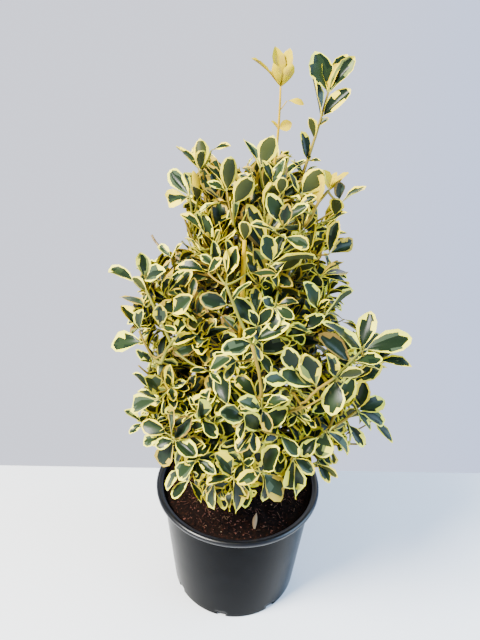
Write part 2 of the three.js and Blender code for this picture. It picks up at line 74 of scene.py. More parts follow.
level_right = Vector((1, 0, 0))
level_up = Vector((0, math.sin(CAMERA_DOWN), math.cos(CAMERA_DOWN)))
looks_along = Vector((0, math.cos(CAMERA_DOWN), -math.sin(CAMERA_DOWN)))
camera_right = math.cos(CAMERA_ROLL) * level_right + math.sin(CAMERA_ROLL) * level_up
camera_up = math.cos(CAMERA_ROLL) * level_up - math.sin(CAMERA_ROLL) * level_right

camera_data = bpy.data.cameras.new("camera")
camera_data.sensor_width = SENSOR
camera_data.lens = SENSOR * FOCAL_PIXELS / FRAME_HEIGHT
camera = bpy.data.objects.new("camera", camera_data)
turned = Matrix((camera_right, camera_up, -looks_along)).transposed().to_4x4()
camera.matrix_world = Matrix.Translation(CAMERA_AT) @ turned
bpy.context.scene.collection.objects.link(camera)
bpy.context.scene.camera = camera


def colour_steps(nodes, steps):
    """A ramp node with a colour at each place. The first and the last are set before those between."""
    node = nodes.new("ShaderNodeValToRGB")
    first, *between, last = steps
    for element, (place, colour) in zip(node.color_ramp.elements, (first, last)):
        element.position = place
        element.color = (*colour, 1)
    for place, colour in between:
        node.color_ramp.elements.new(place).color = (*colour, 1)
    return node


for name, at, aims_at, side, watts, tint in LAMPS:
    lamp = bpy.data.lights.new(name, "AREA")
    lamp.size = side
    lamp.energy = watts
    lamp.color = tint
    light = bpy.data.objects.new(name, lamp)
    light.location = at
    light.rotation_euler = (Vector(aims_at) - Vector(at)).to_track_quat("-Z", "Y").to_euler()
    bpy.context.scene.collection.objects.link(light)

surround = bpy.data.worlds.new("surround")
surround.use_nodes = True
nodes, links = surround.node_tree.nodes, surround.node_tree.links
looking = nodes.new("ShaderNodeTexCoord")
parts = nodes.new("ShaderNodeSeparateXYZ")
links.new(looking.outputs["Generated"], parts.inputs["Vector"])
steps = colour_steps(nodes, SURROUND_STEPS)
links.new(parts.outputs["Z"], steps.inputs["Fac"])
rightward = nodes.new("ShaderNodeMapRange")
rightward.inputs["From Max"].default_value = BLUEST_AT
links.new(parts.outputs["X"], rightward.inputs["Value"])
bluer = nodes.new("ShaderNodeMix")
bluer.data_type = "RGBA"
bluer.blend_type = "MULTIPLY"
bluer.inputs["B"].default_value = BLUER
links.new(rightward.outputs["Result"], bluer.inputs["Factor"])
links.new(steps.outputs["Color"], bluer.inputs["A"])
links.new(bluer.outputs["Result"], nodes["Background"].inputs["Color"])
nodes["Background"].inputs["Strength"].default_value = SURROUND_STRENGTH
bpy.context.scene.world = surround


def grid_corners(rows, columns, wraps):
    """Quads between neighbouring rows and columns of a grid. Where it wraps, its last column meets the
    first."""
    across = columns if wraps else columns - 1
    row, column = np.meshgrid(np.arange(rows - 1), np.arange(across), indexing="ij")
    here = row * columns + column
    beside = row * columns + (column + 1) % columns
    return np.stack([here, beside, beside + columns, here + columns], -1).reshape(-1, 4)


def mesh_piece(name, vertices, faces, materials, shades=0, smooth=True):
    """One object at the origin from vertices and a list of face arrays, each array holding faces of one size.
    shades gives the material of each face, in the order of the faces."""
    corners = np.concatenate([np.ravel(part) for part in faces]).astype(np.int32)
    sizes = np.concatenate([np.full(len(part), part.shape[1]) for part in faces])
    mesh = bpy.data.meshes.new(name)
    mesh.vertices.add(len(vertices))
    mesh.vertices.foreach_set("co", np.ravel(vertices).astype(np.float32))
    mesh.loops.add(len(corners))
    mesh.loops.foreach_set("vertex_index", corners)
    mesh.polygons.add(len(sizes))
    mesh.polygons.foreach_set("loop_start", np.concatenate([[0], np.cumsum(sizes)[:-1]]).astype(np.int32))
    for material in materials:
        mesh.materials.append(material)
    mesh.polygons.foreach_set("material_index", np.broadcast_to(shades, len(sizes)).astype(np.int32))
    mesh.polygons.foreach_set("use_smooth", np.full(len(sizes), smooth))
    mesh.update(calc_edges=True)
    piece = bpy.data.objects.new(name, mesh)
    bpy.context.scene.collection.objects.link(piece)
    return piece


def plain_material(name, colour, roughness, shine=0.24):
    """A finish of one base colour and one gloss, for surfaces whose colours are dealt out face by face."""
    material = bpy.data.materials.new(name)
    material.use_nodes = True
    shader = material.node_tree.nodes["Principled BSDF"]
    shader.inputs["Base Color"].default_value = (*colour, 1)
    shader.inputs["Roughness"].default_value = roughness
    shader.inputs["Specular IOR Level"].default_value = shine
    return material


board_x, board_y = np.meshgrid(
    np.linspace(-BOARD_SIDE, BOARD_SIDE, BOARD_POINTS),
    np.linspace(0, 1, BOARD_POINTS),
)
board_y = BOARD_FRONT + (BOARD_BACK + BOARD_SLANT * board_x - BOARD_FRONT) * board_y
board = mesh_piece(
    "white_board",
    np.stack([board_x, board_y, np.zeros_like(board_x)], -1).reshape(-1, 3),
    [grid_corners(BOARD_POINTS, BOARD_POINTS, False)],
    [plain_material("white_board", BOARD_WHITE, 0.5)],
)

# Nursery pot
# A thin-walled round pot of black plastic, moulded in one shot: tapered wall, rolled rim with a sloping
# shoulder inside it, and eight drainage notches at the foot. It is satin, lightly scuffed and dusty.
POT_HEIGHT = 0.192
RIM_RADIUS = 0.130
RIM_DEPTH = 0.008
RIM_FOOT = POT_HEIGHT - RIM_DEPTH
BEAD = 0.0042
BEAD_TURNS = np.radians(np.linspace(-105, 95, 13))
BEAD_UNDERSIDE = 4
WALL_TOP_RADIUS = 0.120
BASE_RADIUS = 0.1035
WALL = 0.002
POT_FLOOR = 0.0025
UNDERSIDE = 0.0016
FOOT_ROLL = 0.0014
POLE = 0.0004
NOTCH_COUNT = 8
NOTCH_WIDTH = 0.013
NOTCH_HEIGHT = 0.009
NOTCH_LIP = 0.0006
NOTCH_DEPTH = 0.0075
NOTCH_INNER_RADIUS = BASE_RADIUS - 0.0035
NOTCH_FIRST = math.radians(-100)
NOTCH_POINTS = 5
NOTCH_EDGE = 0.006
POINTS_BETWEEN_NOTCHES = 15
POT_WOBBLE = 0.00035
FULL_TURN = 6.283


def noise_of(points, scale, seed):
    """Smooth noise, mostly from -1 to 1: the scaled sum of six sine waves that run through the points in
    seeded directions, each bent by the one before it."""
    rng = np.random.default_rng(seed)
    total = np.zeros(points.shape[:-1])
    bent = np.zeros(points.shape[:-1])
    for _ in range(6):
        direction = rng.normal(size=3)
        direction *= scale * rng.uniform(0.6, 1.5) / np.linalg.norm(direction)
        bent = np.sin(points @ direction + rng.uniform(0, FULL_TURN) + 1.3 * bent)
        total += bent
    return total / 3.4


def profile_between(stations, counts):
    """Points along straight runs between (radius, height) stations, with so many steps in each run."""
    runs = []
    for start, end, count in zip(stations[:-1], stations[1:], counts):
        share = np.arange(count)[:, None] / count
        runs.append(np.array(start) * (1 - share) + np.array(end) * share)
    return np.concatenate([*runs, np.array([stations[-1]])])


def wall_at(height):
    """The wall's outer radius at a height: an even taper from the foot to under the rim."""
    return BASE_RADIUS + (WALL_TOP_RADIUS - BASE_RADIUS) * height / RIM_FOOT


def capped_grid(rows, columns, turned_over=False):
    """The faces of a grid that wraps, with a cap on its first row and on its last. They are turned over where
    the rows run from the inside out."""
    first = np.arange(columns)[None]
    faces = [grid_corners(rows, columns, True), first[:, ::-1], first + (rows - 1) * columns]
    return [part[:, ::-1] for part in faces] if turned_over else faces


def grained_material(name, scale, detail, steps, roughness, coarseness=0.5, upright=1):
    """A finish whose base colour is noise on the piece's own coordinates, run through a ramp of colours. An
    upright share under 1 draws the noise out along the height. Returns the shader and the noise too."""
    material = bpy.data.materials.new(name)
    material.use_nodes = True
    nodes, links = material.node_tree.nodes, material.node_tree.links
    shader = nodes["Principled BSDF"]
    shader.inputs["Roughness"].default_value = roughness
    place = nodes.new("ShaderNodeTexCoord")
    stretch = nodes.new("ShaderNodeMapping")
    stretch.inputs["Scale"].default_value = (1, 1, upright)
    grain = nodes.new("ShaderNodeTexNoise")
    grain.inputs["Scale"].default_value = scale
    grain.inputs["Detail"].default_value = detail
    grain.inputs["Roughness"].default_value = coarseness
    shades = colour_steps(nodes, steps)
    links.new(place.outputs["Object"], stretch.inputs["Vector"])
    links.new(stretch.outputs["Vector"], grain.inputs["Vector"])
    links.new(grain.outputs["Fac"], shades.inputs["Fac"])
    links.new(shades.outputs["Color"], shader.inputs["Base Color"])
    return material, shader, grain


bead_line = [
    (RIM_RADIUS - BEAD + BEAD * math.cos(turn), POT_HEIGHT - BEAD + BEAD * math.sin(turn))
    for turn in BEAD_TURNS
]
outer_line = [
    (POLE, UNDERSIDE),
    (BASE_RADIUS - 0.006, FOOT_ROLL),
    (BASE_RADIUS - 0.003, 0.0),
    (BASE_RADIUS - 0.0012, 0.0),
    (BASE_RADIUS, FOOT_ROLL),
    (wall_at(NOTCH_HEIGHT), NOTCH_HEIGHT),
    (wall_at(NOTCH_HEIGHT + NOTCH_LIP), NOTCH_HEIGHT + NOTCH_LIP),
    (wall_at(RIM_FOOT - 0.003), RIM_FOOT - 0.003),
    (WALL_TOP_RADIUS + 0.0016, RIM_FOOT - 0.0006),
]
OUTER_STEPS = (6, 2, 2, 2, 5, 1, 34, 2)
inner_line = [
    (RIM_RADIUS - 0.0066, POT_HEIGHT - 0.0009),
    (WALL_TOP_RADIUS - WALL + 0.0016, POT_HEIGHT - 0.0030),
    (WALL_TOP_RADIUS - WALL, RIM_FOOT - 0.0014),
    (BASE_RADIUS - WALL, POT_FLOOR),
    (POLE, POT_FLOOR),
]
INNER_STEPS = (3, 3, 24, 8)
outer_profile = profile_between(outer_line, OUTER_STEPS)
profile = np.concatenate([outer_profile, np.array(bead_line), profile_between(inner_line, INNER_STEPS)])
along_profile = np.arange(len(profile))
half_notch = NOTCH_WIDTH / 2 / BASE_RADIUS
notch_edge = half_notch + NOTCH_EDGE
sector = np.concatenate([
    np.linspace(-half_notch, half_notch, NOTCH_POINTS),
    np.linspace(notch_edge, 2 * math.pi / NOTCH_COUNT - half_notch - NOTCH_EDGE, POINTS_BETWEEN_NOTCHES),
])
azimuths = np.concatenate([sector + NOTCH_FIRST + 2 * math.pi * i / NOTCH_COUNT for i in range(NOTCH_COUNT)])
in_notch = np.tile(np.arange(len(sector)) < NOTCH_POINTS, NOTCH_COUNT)
pot_radius = np.repeat(profile[:, :1], len(azimuths), 1)
pot_z = np.repeat(profile[:, 1:], len(azimuths), 1)
at_foot = (pot_z <= NOTCH_HEIGHT) & (pot_radius > NOTCH_INNER_RADIUS)
at_foot &= along_profile[:, None] < len(outer_profile)
pot_radius = pot_radius - np.where(at_foot & in_notch[None, :], NOTCH_DEPTH, 0)
pot_points = np.stack([pot_radius * np.cos(azimuths), pot_radius * np.sin(azimuths), pot_z], -1)
wobble = POT_WOBBLE * noise_of(pot_points, 30, 5) * np.clip(pot_z / POT_HEIGHT, 0, 1)
pot_points[..., :2] *= (1 + wobble / np.maximum(pot_radius, 0.02))[..., None]

pot_plastic, shader, scuff = grained_material(
    "black_pot_plastic",
    38,
    7,
    ((0.35, (0.0004, 0.0005, 0.0008)), (0.78, (0.0022, 0.0024, 0.0032))),
    0.5,
)
shader.inputs["IOR"].default_value = 1.11
shader.inputs["Specular Tint"].default_value = (0.1, 0.1, 0.12, 1)
gloss = pot_plastic.node_tree.nodes.new("ShaderNodeMapRange")
gloss.inputs["To Min"].default_value = 0.17
gloss.inputs["To Max"].default_value = 0.30
pot_plastic.node_tree.links.new(scuff.outputs["Fac"], gloss.inputs["Value"])
pot_plastic.node_tree.links.new(gloss.outputs["Result"], shader.inputs["Roughness"])
# Hands have polished the rim, so it shines more than the wall.
rim_plastic = plain_material("polished_rim_plastic", (0.0022, 0.0026, 0.0040), 0.30, 0.4)
rim_first = len(outer_profile) + BEAD_UNDERSIDE
rim_last = len(outer_profile) + len(bead_line) + sum(INNER_STEPS[:2])
on_rim = (along_profile[:-1] >= rim_first) & (along_profile[:-1] < rim_last)
pot = mesh_piece(
    "nursery_pot",
    pot_points.reshape(-1, 3),
    capped_grid(len(profile), len(azimuths), turned_over=True),
    [pot_plastic, rim_plastic],
    np.concatenate([np.repeat(on_rim, len(azimuths)), [0, 0]]),
)
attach(pot, "root")
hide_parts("pot")

# Potting soil
# Moist dark peat that fills the pot to a finger below its rim, lumpy and fibrous, with loose crumbs,
# reddish fibres and a few pale bits lying on it.
SOIL_TOP = 0.181
SOIL_RADIUS = 0.1172
SOIL_RINGS = 60
SOIL_SPOKES = 150
SOIL_SINK = 0.0006
MOUND = 0.002
MOUND_RADIUS = 0.045
FOOT_GAP = 0.0006
FIBRES = 260
FIBRE_RINGS = 6
FIBRE_SIDES = 3

# The lumps of its top: (how high, how close, seed)
LUMPS = ((0.0016, 120, 11), (0.0008, 420, 12), (0.0004, 900, 13))


def soil_height(x, y):
    """The soil's top: its level plus three sizes of lumps and a slight rise towards the stem."""
    points = np.stack([x, y, np.zeros_like(x)], -1)
    lumps = sum(high * noise_of(points, close, seed) for high, close, seed in LUMPS)
    return SOIL_TOP - SOIL_SINK + lumps + MOUND * np.exp(-(x**2 + y**2) / MOUND_RADIUS**2)


ring = np.linspace(0.004, 1, SOIL_RINGS)[:, None] * SOIL_RADIUS
spoke = np.linspace(0, 2 * math.pi, SOIL_SPOKES, endpoint=False)[None, :]
soil_x, soil_y = ring * np.cos(spoke), ring * np.sin(spoke)
top = np.stack([soil_x, soil_y, soil_height(soil_x, soil_y)], -1)
foot_radius = np.array([1.0, 0.02])[:, None] * (BASE_RADIUS - WALL - FOOT_GAP)
foot_z = np.full((2, SOIL_SPOKES), POT_FLOOR + 0.0003)
foot = np.stack([foot_radius * np.cos(spoke), foot_radius * np.sin(spoke), foot_z], -1)

peat, shader, _ = grained_material(
    "moist_peat",
    210,
    9,
    ((0.36, (0.0015, 0.0009, 0.0007)), (0.54, (0.006, 0.0025, 0.0015)), (0.72, (0.034, 0.0110, 0.0056))),
    0.88,
    coarseness=0.72,
)
shader.inputs["Specular IOR Level"].default_value = 0.06
soil = mesh_piece(
    "potting_soil_bed",
    np.concatenate([top, foot]).reshape(-1, 3),
    capped_grid(SOIL_RINGS + 2, SOIL_SPOKES),
    [peat],
)
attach(soil, "root")
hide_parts("potting_soil")

rng = np.random.default_rng(21)
OCTAHEDRON = np.array([[1, 0, 0], [-1, 0, 0], [0, 1, 0], [0, -1, 0], [0, 0, 1], [0, 0, -1]], float)
OCTAHEDRON_FACES = np.array([
    [0, 2, 4], [2, 1, 4], [1, 3, 4], [3, 0, 4],
    [2, 0, 5], [1, 2, 5], [3, 1, 5], [0, 3, 5],
])


def scattered(count, spread, rng):
    """Points on the soil's top, spread evenly over a disc with none under the stem's foot."""
    radius = spread * np.sqrt(rng.uniform(0.05, 1, count))
    turn = rng.uniform(0, 2 * math.pi, count)
    x, y = radius * np.cos(turn), radius * np.sin(turn)
    return np.stack([x, y, soil_height(x, y)], -1)


def repeated(faces, count, corners):
    """The faces of one shape, as arrays, for many copies of it that have so many corners each."""
    shift = corners * np.arange(count)[:, None, None]
    return [(part[None] + shift).reshape(-1, part.shape[1]) for part in faces]


def crumbs(count, smallest, largest, rng):
    """Loose lumps: an eight-faced shape whose corners are each pushed in or out, half sunk where it lies."""
    size = smallest + (largest - smallest) * rng.uniform(0, 1, count) ** 2.2
    shape = OCTAHEDRON[None] * rng.uniform(0.6, 1.2, (count, 6, 1)) + rng.normal(0, 0.16, (count, 6, 3))
    turn = rng.uniform(0, 2 * math.pi, count)
    turned_x = shape[..., 0] * np.cos(turn)[:, None] - shape[..., 1] * np.sin(turn)[:, None]
    turned_y = shape[..., 0] * np.sin(turn)[:, None] + shape[..., 1] * np.cos(turn)[:, None]
    shape = np.stack([turned_x, turned_y, 0.75 * shape[..., 2]], -1) * size[:, None, None]
    at = scattered(count, SOIL_RADIUS - 0.006, rng)
    return (shape + at[:, None]).reshape(-1, 3), repeated([OCTAHEDRON_FACES], count, len(OCTAHEDRON))


# The crumbs: (name, how many, smallest, largest, what of)
CRUMBS = (
    ("peat_crumbs", 620, 0.0010, 0.0042, peat),
    ("pale_bits", 30, 0.0006, 0.0016, plain_material("pale_grit", (0.36, 0.27, 0.18), 0.8)),
    ("red_crumbs", 520, 0.0007, 0.0020, plain_material("red_crumb", (0.086, 0.028, 0.017), 0.8)),
)
for name, count, smallest, largest, material in CRUMBS:
    vertices, faces = crumbs(count, smallest, largest, rng)
    piece = mesh_piece(name, vertices, faces, [material], smooth=False)
    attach(piece, "root")


def tubes(lines, radii, sides):
    """Many tubes at once: ring i of a tube is line[i] + radius (cos a U + sin a V), where U is the tube's
    own side direction made square to the line's run T there, and V = T x U. Both ends are capped. The radii
    are one to a ring, or one to a corner."""
    count, rings = lines.shape[:2]
    run = np.gradient(lines, axis=1)
    run /= np.linalg.norm(run, axis=-1, keepdims=True)
    mean_run = run.mean(1)
    side = np.cross(mean_run, np.array([0.31, 0.17, 0.93]))
    too_short = np.linalg.norm(side, axis=-1, keepdims=True) < 0.2
    side = np.where(too_short, np.cross(mean_run, [0.0, 1.0, 0.0]), side)
    across = side[:, None] - (side[:, None] * run).sum(-1, keepdims=True) * run
    across /= np.linalg.norm(across, axis=-1, keepdims=True)
    third = np.cross(run, across)
    turn = 2 * math.pi * np.arange(sides) / sides
    spokes = across[:, :, None] * np.cos(turn)[:, None] + third[:, :, None] * np.sin(turn)[:, None]
    if radii.ndim == 2:
        radii = radii[:, :, None]
    vertices = (lines[:, :, None] + radii[..., None] * spokes).reshape(-1, 3)
    return vertices, repeated(capped_grid(rings, sides), count, rings * sides)


fibre_at = scattered(FIBRES, SOIL_RADIUS - 0.012, rng)
fibre_turn = rng.uniform(0, 2 * math.pi, FIBRES)
fibre_length = rng.uniform(0.002, 0.009, FIBRES)
along_fibre = np.linspace(-0.5, 0.5, FIBRE_RINGS)
bow = rng.uniform(-0.5, 0.5, FIBRES)[:, None] * (0.25 - along_fibre**2)
fibre_x = np.cos(fibre_turn)[:, None] * along_fibre - np.sin(fibre_turn)[:, None] * bow
fibre_y = np.sin(fibre_turn)[:, None] * along_fibre + np.cos(fibre_turn)[:, None] * bow
fibre_z = 0.0010 + rng.uniform(-0.1, 0.25, FIBRES)[:, None] * (along_fibre + 0.5) * fibre_length[:, None]
fibre_lines = fibre_at[:, None] + np.stack([
    fibre_x * fibre_length[:, None],
    fibre_y * fibre_length[:, None],
    fibre_z,
], -1)
fibre_radii = np.repeat(rng.uniform(0.00018, 0.00042, FIBRES)[:, None], FIBRE_RINGS, 1)
fibre_vertices, fibre_faces = tubes(fibre_lines, fibre_radii, FIBRE_SIDES)
red_fibre = plain_material("reddish_fibre", (0.070, 0.022, 0.012), 0.8)
tan_fibre = plain_material("tan_fibre", (0.150, 0.080, 0.040), 0.8)
is_tan = rng.uniform(0, 1, FIBRES) < 0.3
fibre_shades = np.concatenate([np.repeat(is_tan, (FIBRE_RINGS - 1) * FIBRE_SIDES), np.tile(is_tan, 2)])
fibres = mesh_piece("peat_fibres", fibre_vertices, fibre_faces, [red_fibre, tan_fibre], fibre_shades)
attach(fibres, "root")

# Dry leaf
# One old leaf, dried pale and curled, stands in the soil near the front.
DRY_LEAF_FOOT = np.array([0.0262, -0.0930, 0.1795])
DRY_LEAF_LENGTH = 0.0235
DRY_LEAF_LEAN = math.radians(34)
DRY_LEAF_WIDTH = 0.0075
DRY_LEAF_ROWS = 14
DRY_LEAF_COLUMNS = 9
DRY_LEAF_CURL = 1.15
up_leaf, over_leaf = np.meshgrid(
    np.linspace(0, 1, DRY_LEAF_ROWS),
    np.linspace(-1, 1, DRY_LEAF_COLUMNS),
    indexing="ij",
)
half_width = DRY_LEAF_WIDTH * np.sin(math.pi * np.clip(up_leaf, 0.04, 0.97)) ** 0.7 / 2
curl = DRY_LEAF_CURL * over_leaf
dry_x = half_width * np.sin(curl) + 0.0035 * up_leaf**2 - 0.0015 * up_leaf
dry_y = half_width * (1 - np.cos(curl)) + DRY_LEAF_LENGTH * math.sin(DRY_LEAF_LEAN) * up_leaf
dry_z = DRY_LEAF_LENGTH * math.cos(DRY_LEAF_LEAN) * up_leaf * (1 - 0.12 * over_leaf**2)
dry_leaf = mesh_piece(
    "dry_leaf",
    (np.stack([dry_x, dry_y, dry_z], -1) + DRY_LEAF_FOOT).reshape(-1, 3),
    [grid_corners(DRY_LEAF_ROWS, DRY_LEAF_COLUMNS, False)],
    [plain_material("dry_leaf_tan", (0.26, 0.18, 0.10), 0.7)],
)
thickness = dry_leaf.modifiers.new("thickness", "SOLIDIFY")
thickness.thickness = 0.0004
thickness.offset = 0
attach(dry_leaf, "root")

# Stem and boughs
# One woody stem rises from a flared foot and leans right. Boughs leave it all round and run on into the
# sprays of leaves. The bark is thin, tan to olive, with fine upright ridges and rings of old leaf scars.
STEM_TOP = 0.650
STEM_FOOT = (-0.004, 0.004)
STEM_SUNK = 0.002
STEM_LEAN = 0.028
STEM_BOW = 0.005
STEM_FOOT_RADIUS = 0.0105
STEM_TIP_RADIUS = 0.0030
FLARE = 0.006
FLARE_HEIGHT = 0.009
STEM_RINGS = 260
STEM_SIDES = 40
STEM_RELIEF = 0.00045
BOUGH_FOOT_RADIUS = 0.0042
BOUGH_TIP_RADIUS = 0.0026
SPRAY_TIP_RADIUS = 0.0011
BOUGH_RINGS = 64
BOUGH_SIDES = 12
BOUGH_RELIEF = 0.00022
KNEE = 0.6
ENTRY = 0.42
TIP_INSET = 0.027
CLEAR = 0.0003

# The crown's outline to the leaf tips: (height, reach to the left, reach to the right) off the pot's axis
OUTLINE = np.array([
    (0.205, 0.094, 0.104),
    (0.235, 0.120, 0.130),
    (0.275, 0.152, 0.156),
    (0.330, 0.160, 0.182),
    (0.440, 0.176, 0.184),
    (0.490, 0.172, 0.156),
    (0.540, 0.156, 0.140),
    (0.590, 0.130, 0.130),
    (0.645, 0.110, 0.132),
    (0.690, 0.096, 0.108),
    (0.712, 0.066, 0.072),
])
FRONT_SHARE = 0.95

# Sprays that stand out past it: (azimuth, height, how far, how wide in degrees, how tall)
STANDING_OUT = (
    (-16, 0.462, 0.044, 24, 0.046),
    (-10, 0.312, 0.040, 22, 0.040),
    (178, 0.534, 0.026, 14, 0.014),
)

# Tiers of sprays from the bottom up: (name, count, first azimuth, height, root, root step, lift)
TIERS = (
    ("skirt", 5, -90, 0.286, 0.202, 0.007, 0.85),
    ("lower", 5, -54, 0.358, 0.232, 0.009, 0.4),
    ("middle", 5, -90, 0.432, 0.280, 0.011, 0.28),
    ("upper", 6, -90, 0.525, 0.362, 0.011, 0.24),
    ("crown", 4, -72, 0.615, 0.455, 0.014, 0.2),
)

# The topmost limbs: (name, azimuth, height, distance out, root, lift)
TOPS = (
    ("top_left", 184, 0.664, 0.064, 0.528, 0.3),
    ("top_back", 96, 0.668, 0.056, 0.546, 0.3),
    ("right_leader", -4, 0.752, 0.080, 0.566, 0.25),
)


def seeded(a, b, c):
    """A repeatable number from 0 to 1 for three whole numbers: the fraction of a large sine."""
    wave = math.sin(a * 12.9898 + b * 78.233 + c * 37.719) * 43758.5453
    return wave - math.floor(wave)


def jitter(amount, a, b, c):
    """A repeatable number from -amount to amount."""
    return amount * (2 * seeded(a, b, c) - 1)


def stem_point(height):
    """The stem's axis: it leans to the right as a power of its height, and bows a little to the back."""
    share = np.maximum((height - SOIL_TOP) / (STEM_TOP - SOIL_TOP), 0)
    x = STEM_FOOT[0] + STEM_LEAN * share**1.4
    y = STEM_FOOT[1] + STEM_BOW * np.sin(math.pi * share)
    return np.stack([x, y, height + 0 * share], -1)


def stem_radius(height):
    """The stem's radius: an even taper plus a flare that dies away above the soil."""
    share = np.clip((height - SOIL_TOP) / (STEM_TOP - SOIL_TOP), 0, 1)
    taper = STEM_TIP_RADIUS + (STEM_FOOT_RADIUS - STEM_TIP_RADIUS) * (1 - share) ** 1.1
    return taper + FLARE * np.exp(-(height - SOIL_TOP) / FLARE_HEIGHT)


def reach(height, azimuth):
    """The crown's reach: the outline's two sides blended round the axis, a little less to the front and
    back, plus a soft bump for each spray that stands out."""
    towards_right = (1 + np.cos(azimuth)) / 2
    left = np.interp(height, OUTLINE[:, 0], OUTLINE[:, 1])
    right = np.interp(height, OUTLINE[:, 0], OUTLINE[:, 2])
    out = (left + (right - left) * towards_right) * (1 - (1 - FRONT_SHARE) * np.sin(azimuth) ** 2)
    for spray_azimuth, spray_height, extra, wide, tall in STANDING_OUT:
        turned = azimuth - math.radians(spray_azimuth)
        off = np.arctan2(np.sin(turned), np.cos(turned)) / math.radians(wide)
        out = out + extra * np.exp(-(off**2) - ((height - spray_height) / tall) ** 2)
    return out


def bend_at(bend, share):
    """A point on a curve of three points (foot, knee, tip), by their usual weights."""
    share = np.asarray(share, float)[..., None]
    return bend[0] * (1 - share) ** 2 + 2 * bend[1] * share * (1 - share) + bend[2] * share**2


def bend_run(bend, share):
    """How fast and which way such a curve runs at a share of it."""
    share = np.asarray(share, float)[..., None]
    return 2 * (1 - share) * (bend[1] - bend[0]) + 2 * share * (bend[2] - bend[1])


def limb_bend(root, tip, lift):
    """A limb's three points: its foot on the stem's axis, a knee that makes part of the climb, its tip."""
    foot = stem_point(root)
    knee = foot + KNEE * (tip - foot)
    knee[2] = foot[2] + lift * (tip[2] - foot[2])
    return np.stack([foot, knee, tip])


limbs = []
for t, (tier, count, first, height, root, root_step, lift) in enumerate(TIERS):
    for i in range(count):
        azimuth = math.radians(first + 360 / count * i + jitter(7, t, i, 1))
        tip_height = height + jitter(0.012, t, i, 2)
        out = reach(tip_height + 0.020, azimuth) - TIP_INSET
        tip = np.array([out * math.cos(azimuth), out * math.sin(azimuth), tip_height])
        limbs.append((f"{tier}_{i + 1}", limb_bend(root + root_step * ((i * 2) % count), tip, lift)))
for name, degrees, height, out, root, lift in TOPS:
    azimuth = math.radians(degrees)
    tip = np.array([out * math.cos(azimuth), out * math.sin(azimuth), height])
    limbs.append((name, limb_bend(root, tip, lift)))


def ridged(radii, rings, sides, seed, depth):
    """Radii with bark relief: upright ridges that wander slowly along the limb, and shallow rings where
    old leaf pairs stood."""
    turn = 2 * math.pi * np.arange(sides)[None, :] / sides
    along = np.linspace(0, 1, rings)[:, None]
    ridges = np.sin(7 * turn + 3.1 * np.sin(9 * along + seed))
    ridges = ridges + 0.6 * np.sin(13 * turn + 5 * np.sin(17 * along + 2 * seed))
    scars = np.exp(-(((along * 17 + 0.37 * seed) % 1 - 0.5) / 0.07) ** 2)
    around = np.stack([3 * np.cos(turn) + 0 * along, 3 * np.sin(turn) + 0 * along, 40 * along + 0 * turn], -1)
    grain = noise_of(around, 1.6, seed)
    return radii[:, None] + depth * (0.35 * ridges + 0.9 * scars + 0.5 * grain)


bark, _, _ = grained_material(
    "tan_bark",
    260,
    6,
    ((0.34, (0.115, 0.070, 0.030)), (0.52, (0.235, 0.165, 0.070)), (0.70, (0.380, 0.290, 0.130))),
    0.72,
    upright=0.22,
)
stem_shares = np.linspace(0, 1, STEM_RINGS) ** 1.25
stem_heights = SOIL_TOP - STEM_SUNK + (STEM_TOP - SOIL_TOP + STEM_SUNK) * stem_shares
stem_taper = stem_radius(np.maximum(stem_heights, SOIL_TOP))
stem_radii = ridged(stem_taper, STEM_RINGS, STEM_SIDES, 3, STEM_RELIEF)
stem_vertices, stem_faces = tubes(stem_point(stem_heights)[None], stem_radii[None], STEM_SIDES)
stem = mesh_piece("woody_stem", stem_vertices, stem_faces, [bark])
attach(stem, "root")
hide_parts("main_stem")

limb_shares = np.linspace(0, 1, BOUGH_RINGS)
limb_taper = np.interp(limb_shares, [0, ENTRY, 1], [BOUGH_FOOT_RADIUS, BOUGH_TIP_RADIUS, SPRAY_TIP_RADIUS])
limb_lines = np.stack([bend_at(bend, limb_shares) for _, bend in limbs])
limb_radii = np.stack([
    ridged(limb_taper, BOUGH_RINGS, BOUGH_SIDES, 4 + i, BOUGH_RELIEF) for i in range(len(limbs))
])
bough_vertices, bough_faces = tubes(limb_lines, limb_radii, BOUGH_SIDES)
on_young = np.zeros((len(limbs), BOUGH_RINGS - 1, BOUGH_SIDES), int)
on_young[:, int(ENTRY * BOUGH_RINGS):] = 1
young_bark = plain_material("young_bark", (0.250, 0.185, 0.026), 0.6, 0.1)
limb_shades = np.concatenate([on_young.ravel(), np.zeros(2 * len(limbs), int)])
boughs = mesh_piece("boughs", bough_vertices, bough_faces, [bark, young_bark], limb_shades)
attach(boughs, "root")
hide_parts(*[f"bough_{name}" for name, _ in limbs])

# Sprays of foliage
# Each limb ends in a spray: opposite twigs, each pair turned a quarter from the last, with opposite leaves
# in crossed pairs that crowd to a rosette at every tip. The leaves are thick, glossy and blunt, folded along
# the midrib and bent back, dark green inside a broad cream to golden margin. Every spray has its own shades.
CROWN_FOOT = 0.219
CROWN_TOP = 0.692
DIP_X = -0.029
DIP_HALF_WIDTH = 0.026
DIP_DEPTH = 0.026
TOP_FALL = 0.08
LEAF_ROWS = np.array([0.11, 0.31, 0.53, 0.75, 0.92])
LEAF_HALF_WIDTHS = np.array([0.028, 0.165, 0.245, 0.228, 0.122])
LEAF_THICKNESS = 0.0005
TWIG_PLACES = (0.04, 0.13, 0.23, 0.33, 0.44, 0.56, 0.69, 0.83)
TWIG_TRIES = (1, 0.8, 0.62, 0.45)
TWIG_RADII = (0.0015, 0.0008)
TWIG_OPENS = 56
TWIG_OPENS_VARIES = 10
TWIG_LONGEST = 0.70
TWIG_SHORTENS = 0.38
TWIG_VARIES = 0.16
TWIG_KNEE = 0.55
TWIG_REACHES = 0.9
TWIG_TIP_INSET = 0.08
LEAF_TRIES = (1, 0.84, 0.7)
LEAVES_FROM = 0.30
TWIG_LEAVES_FROM = 0.26
LAST_PAIR = 0.88
ROSETTE = (0.94, 0.98, 1.0)
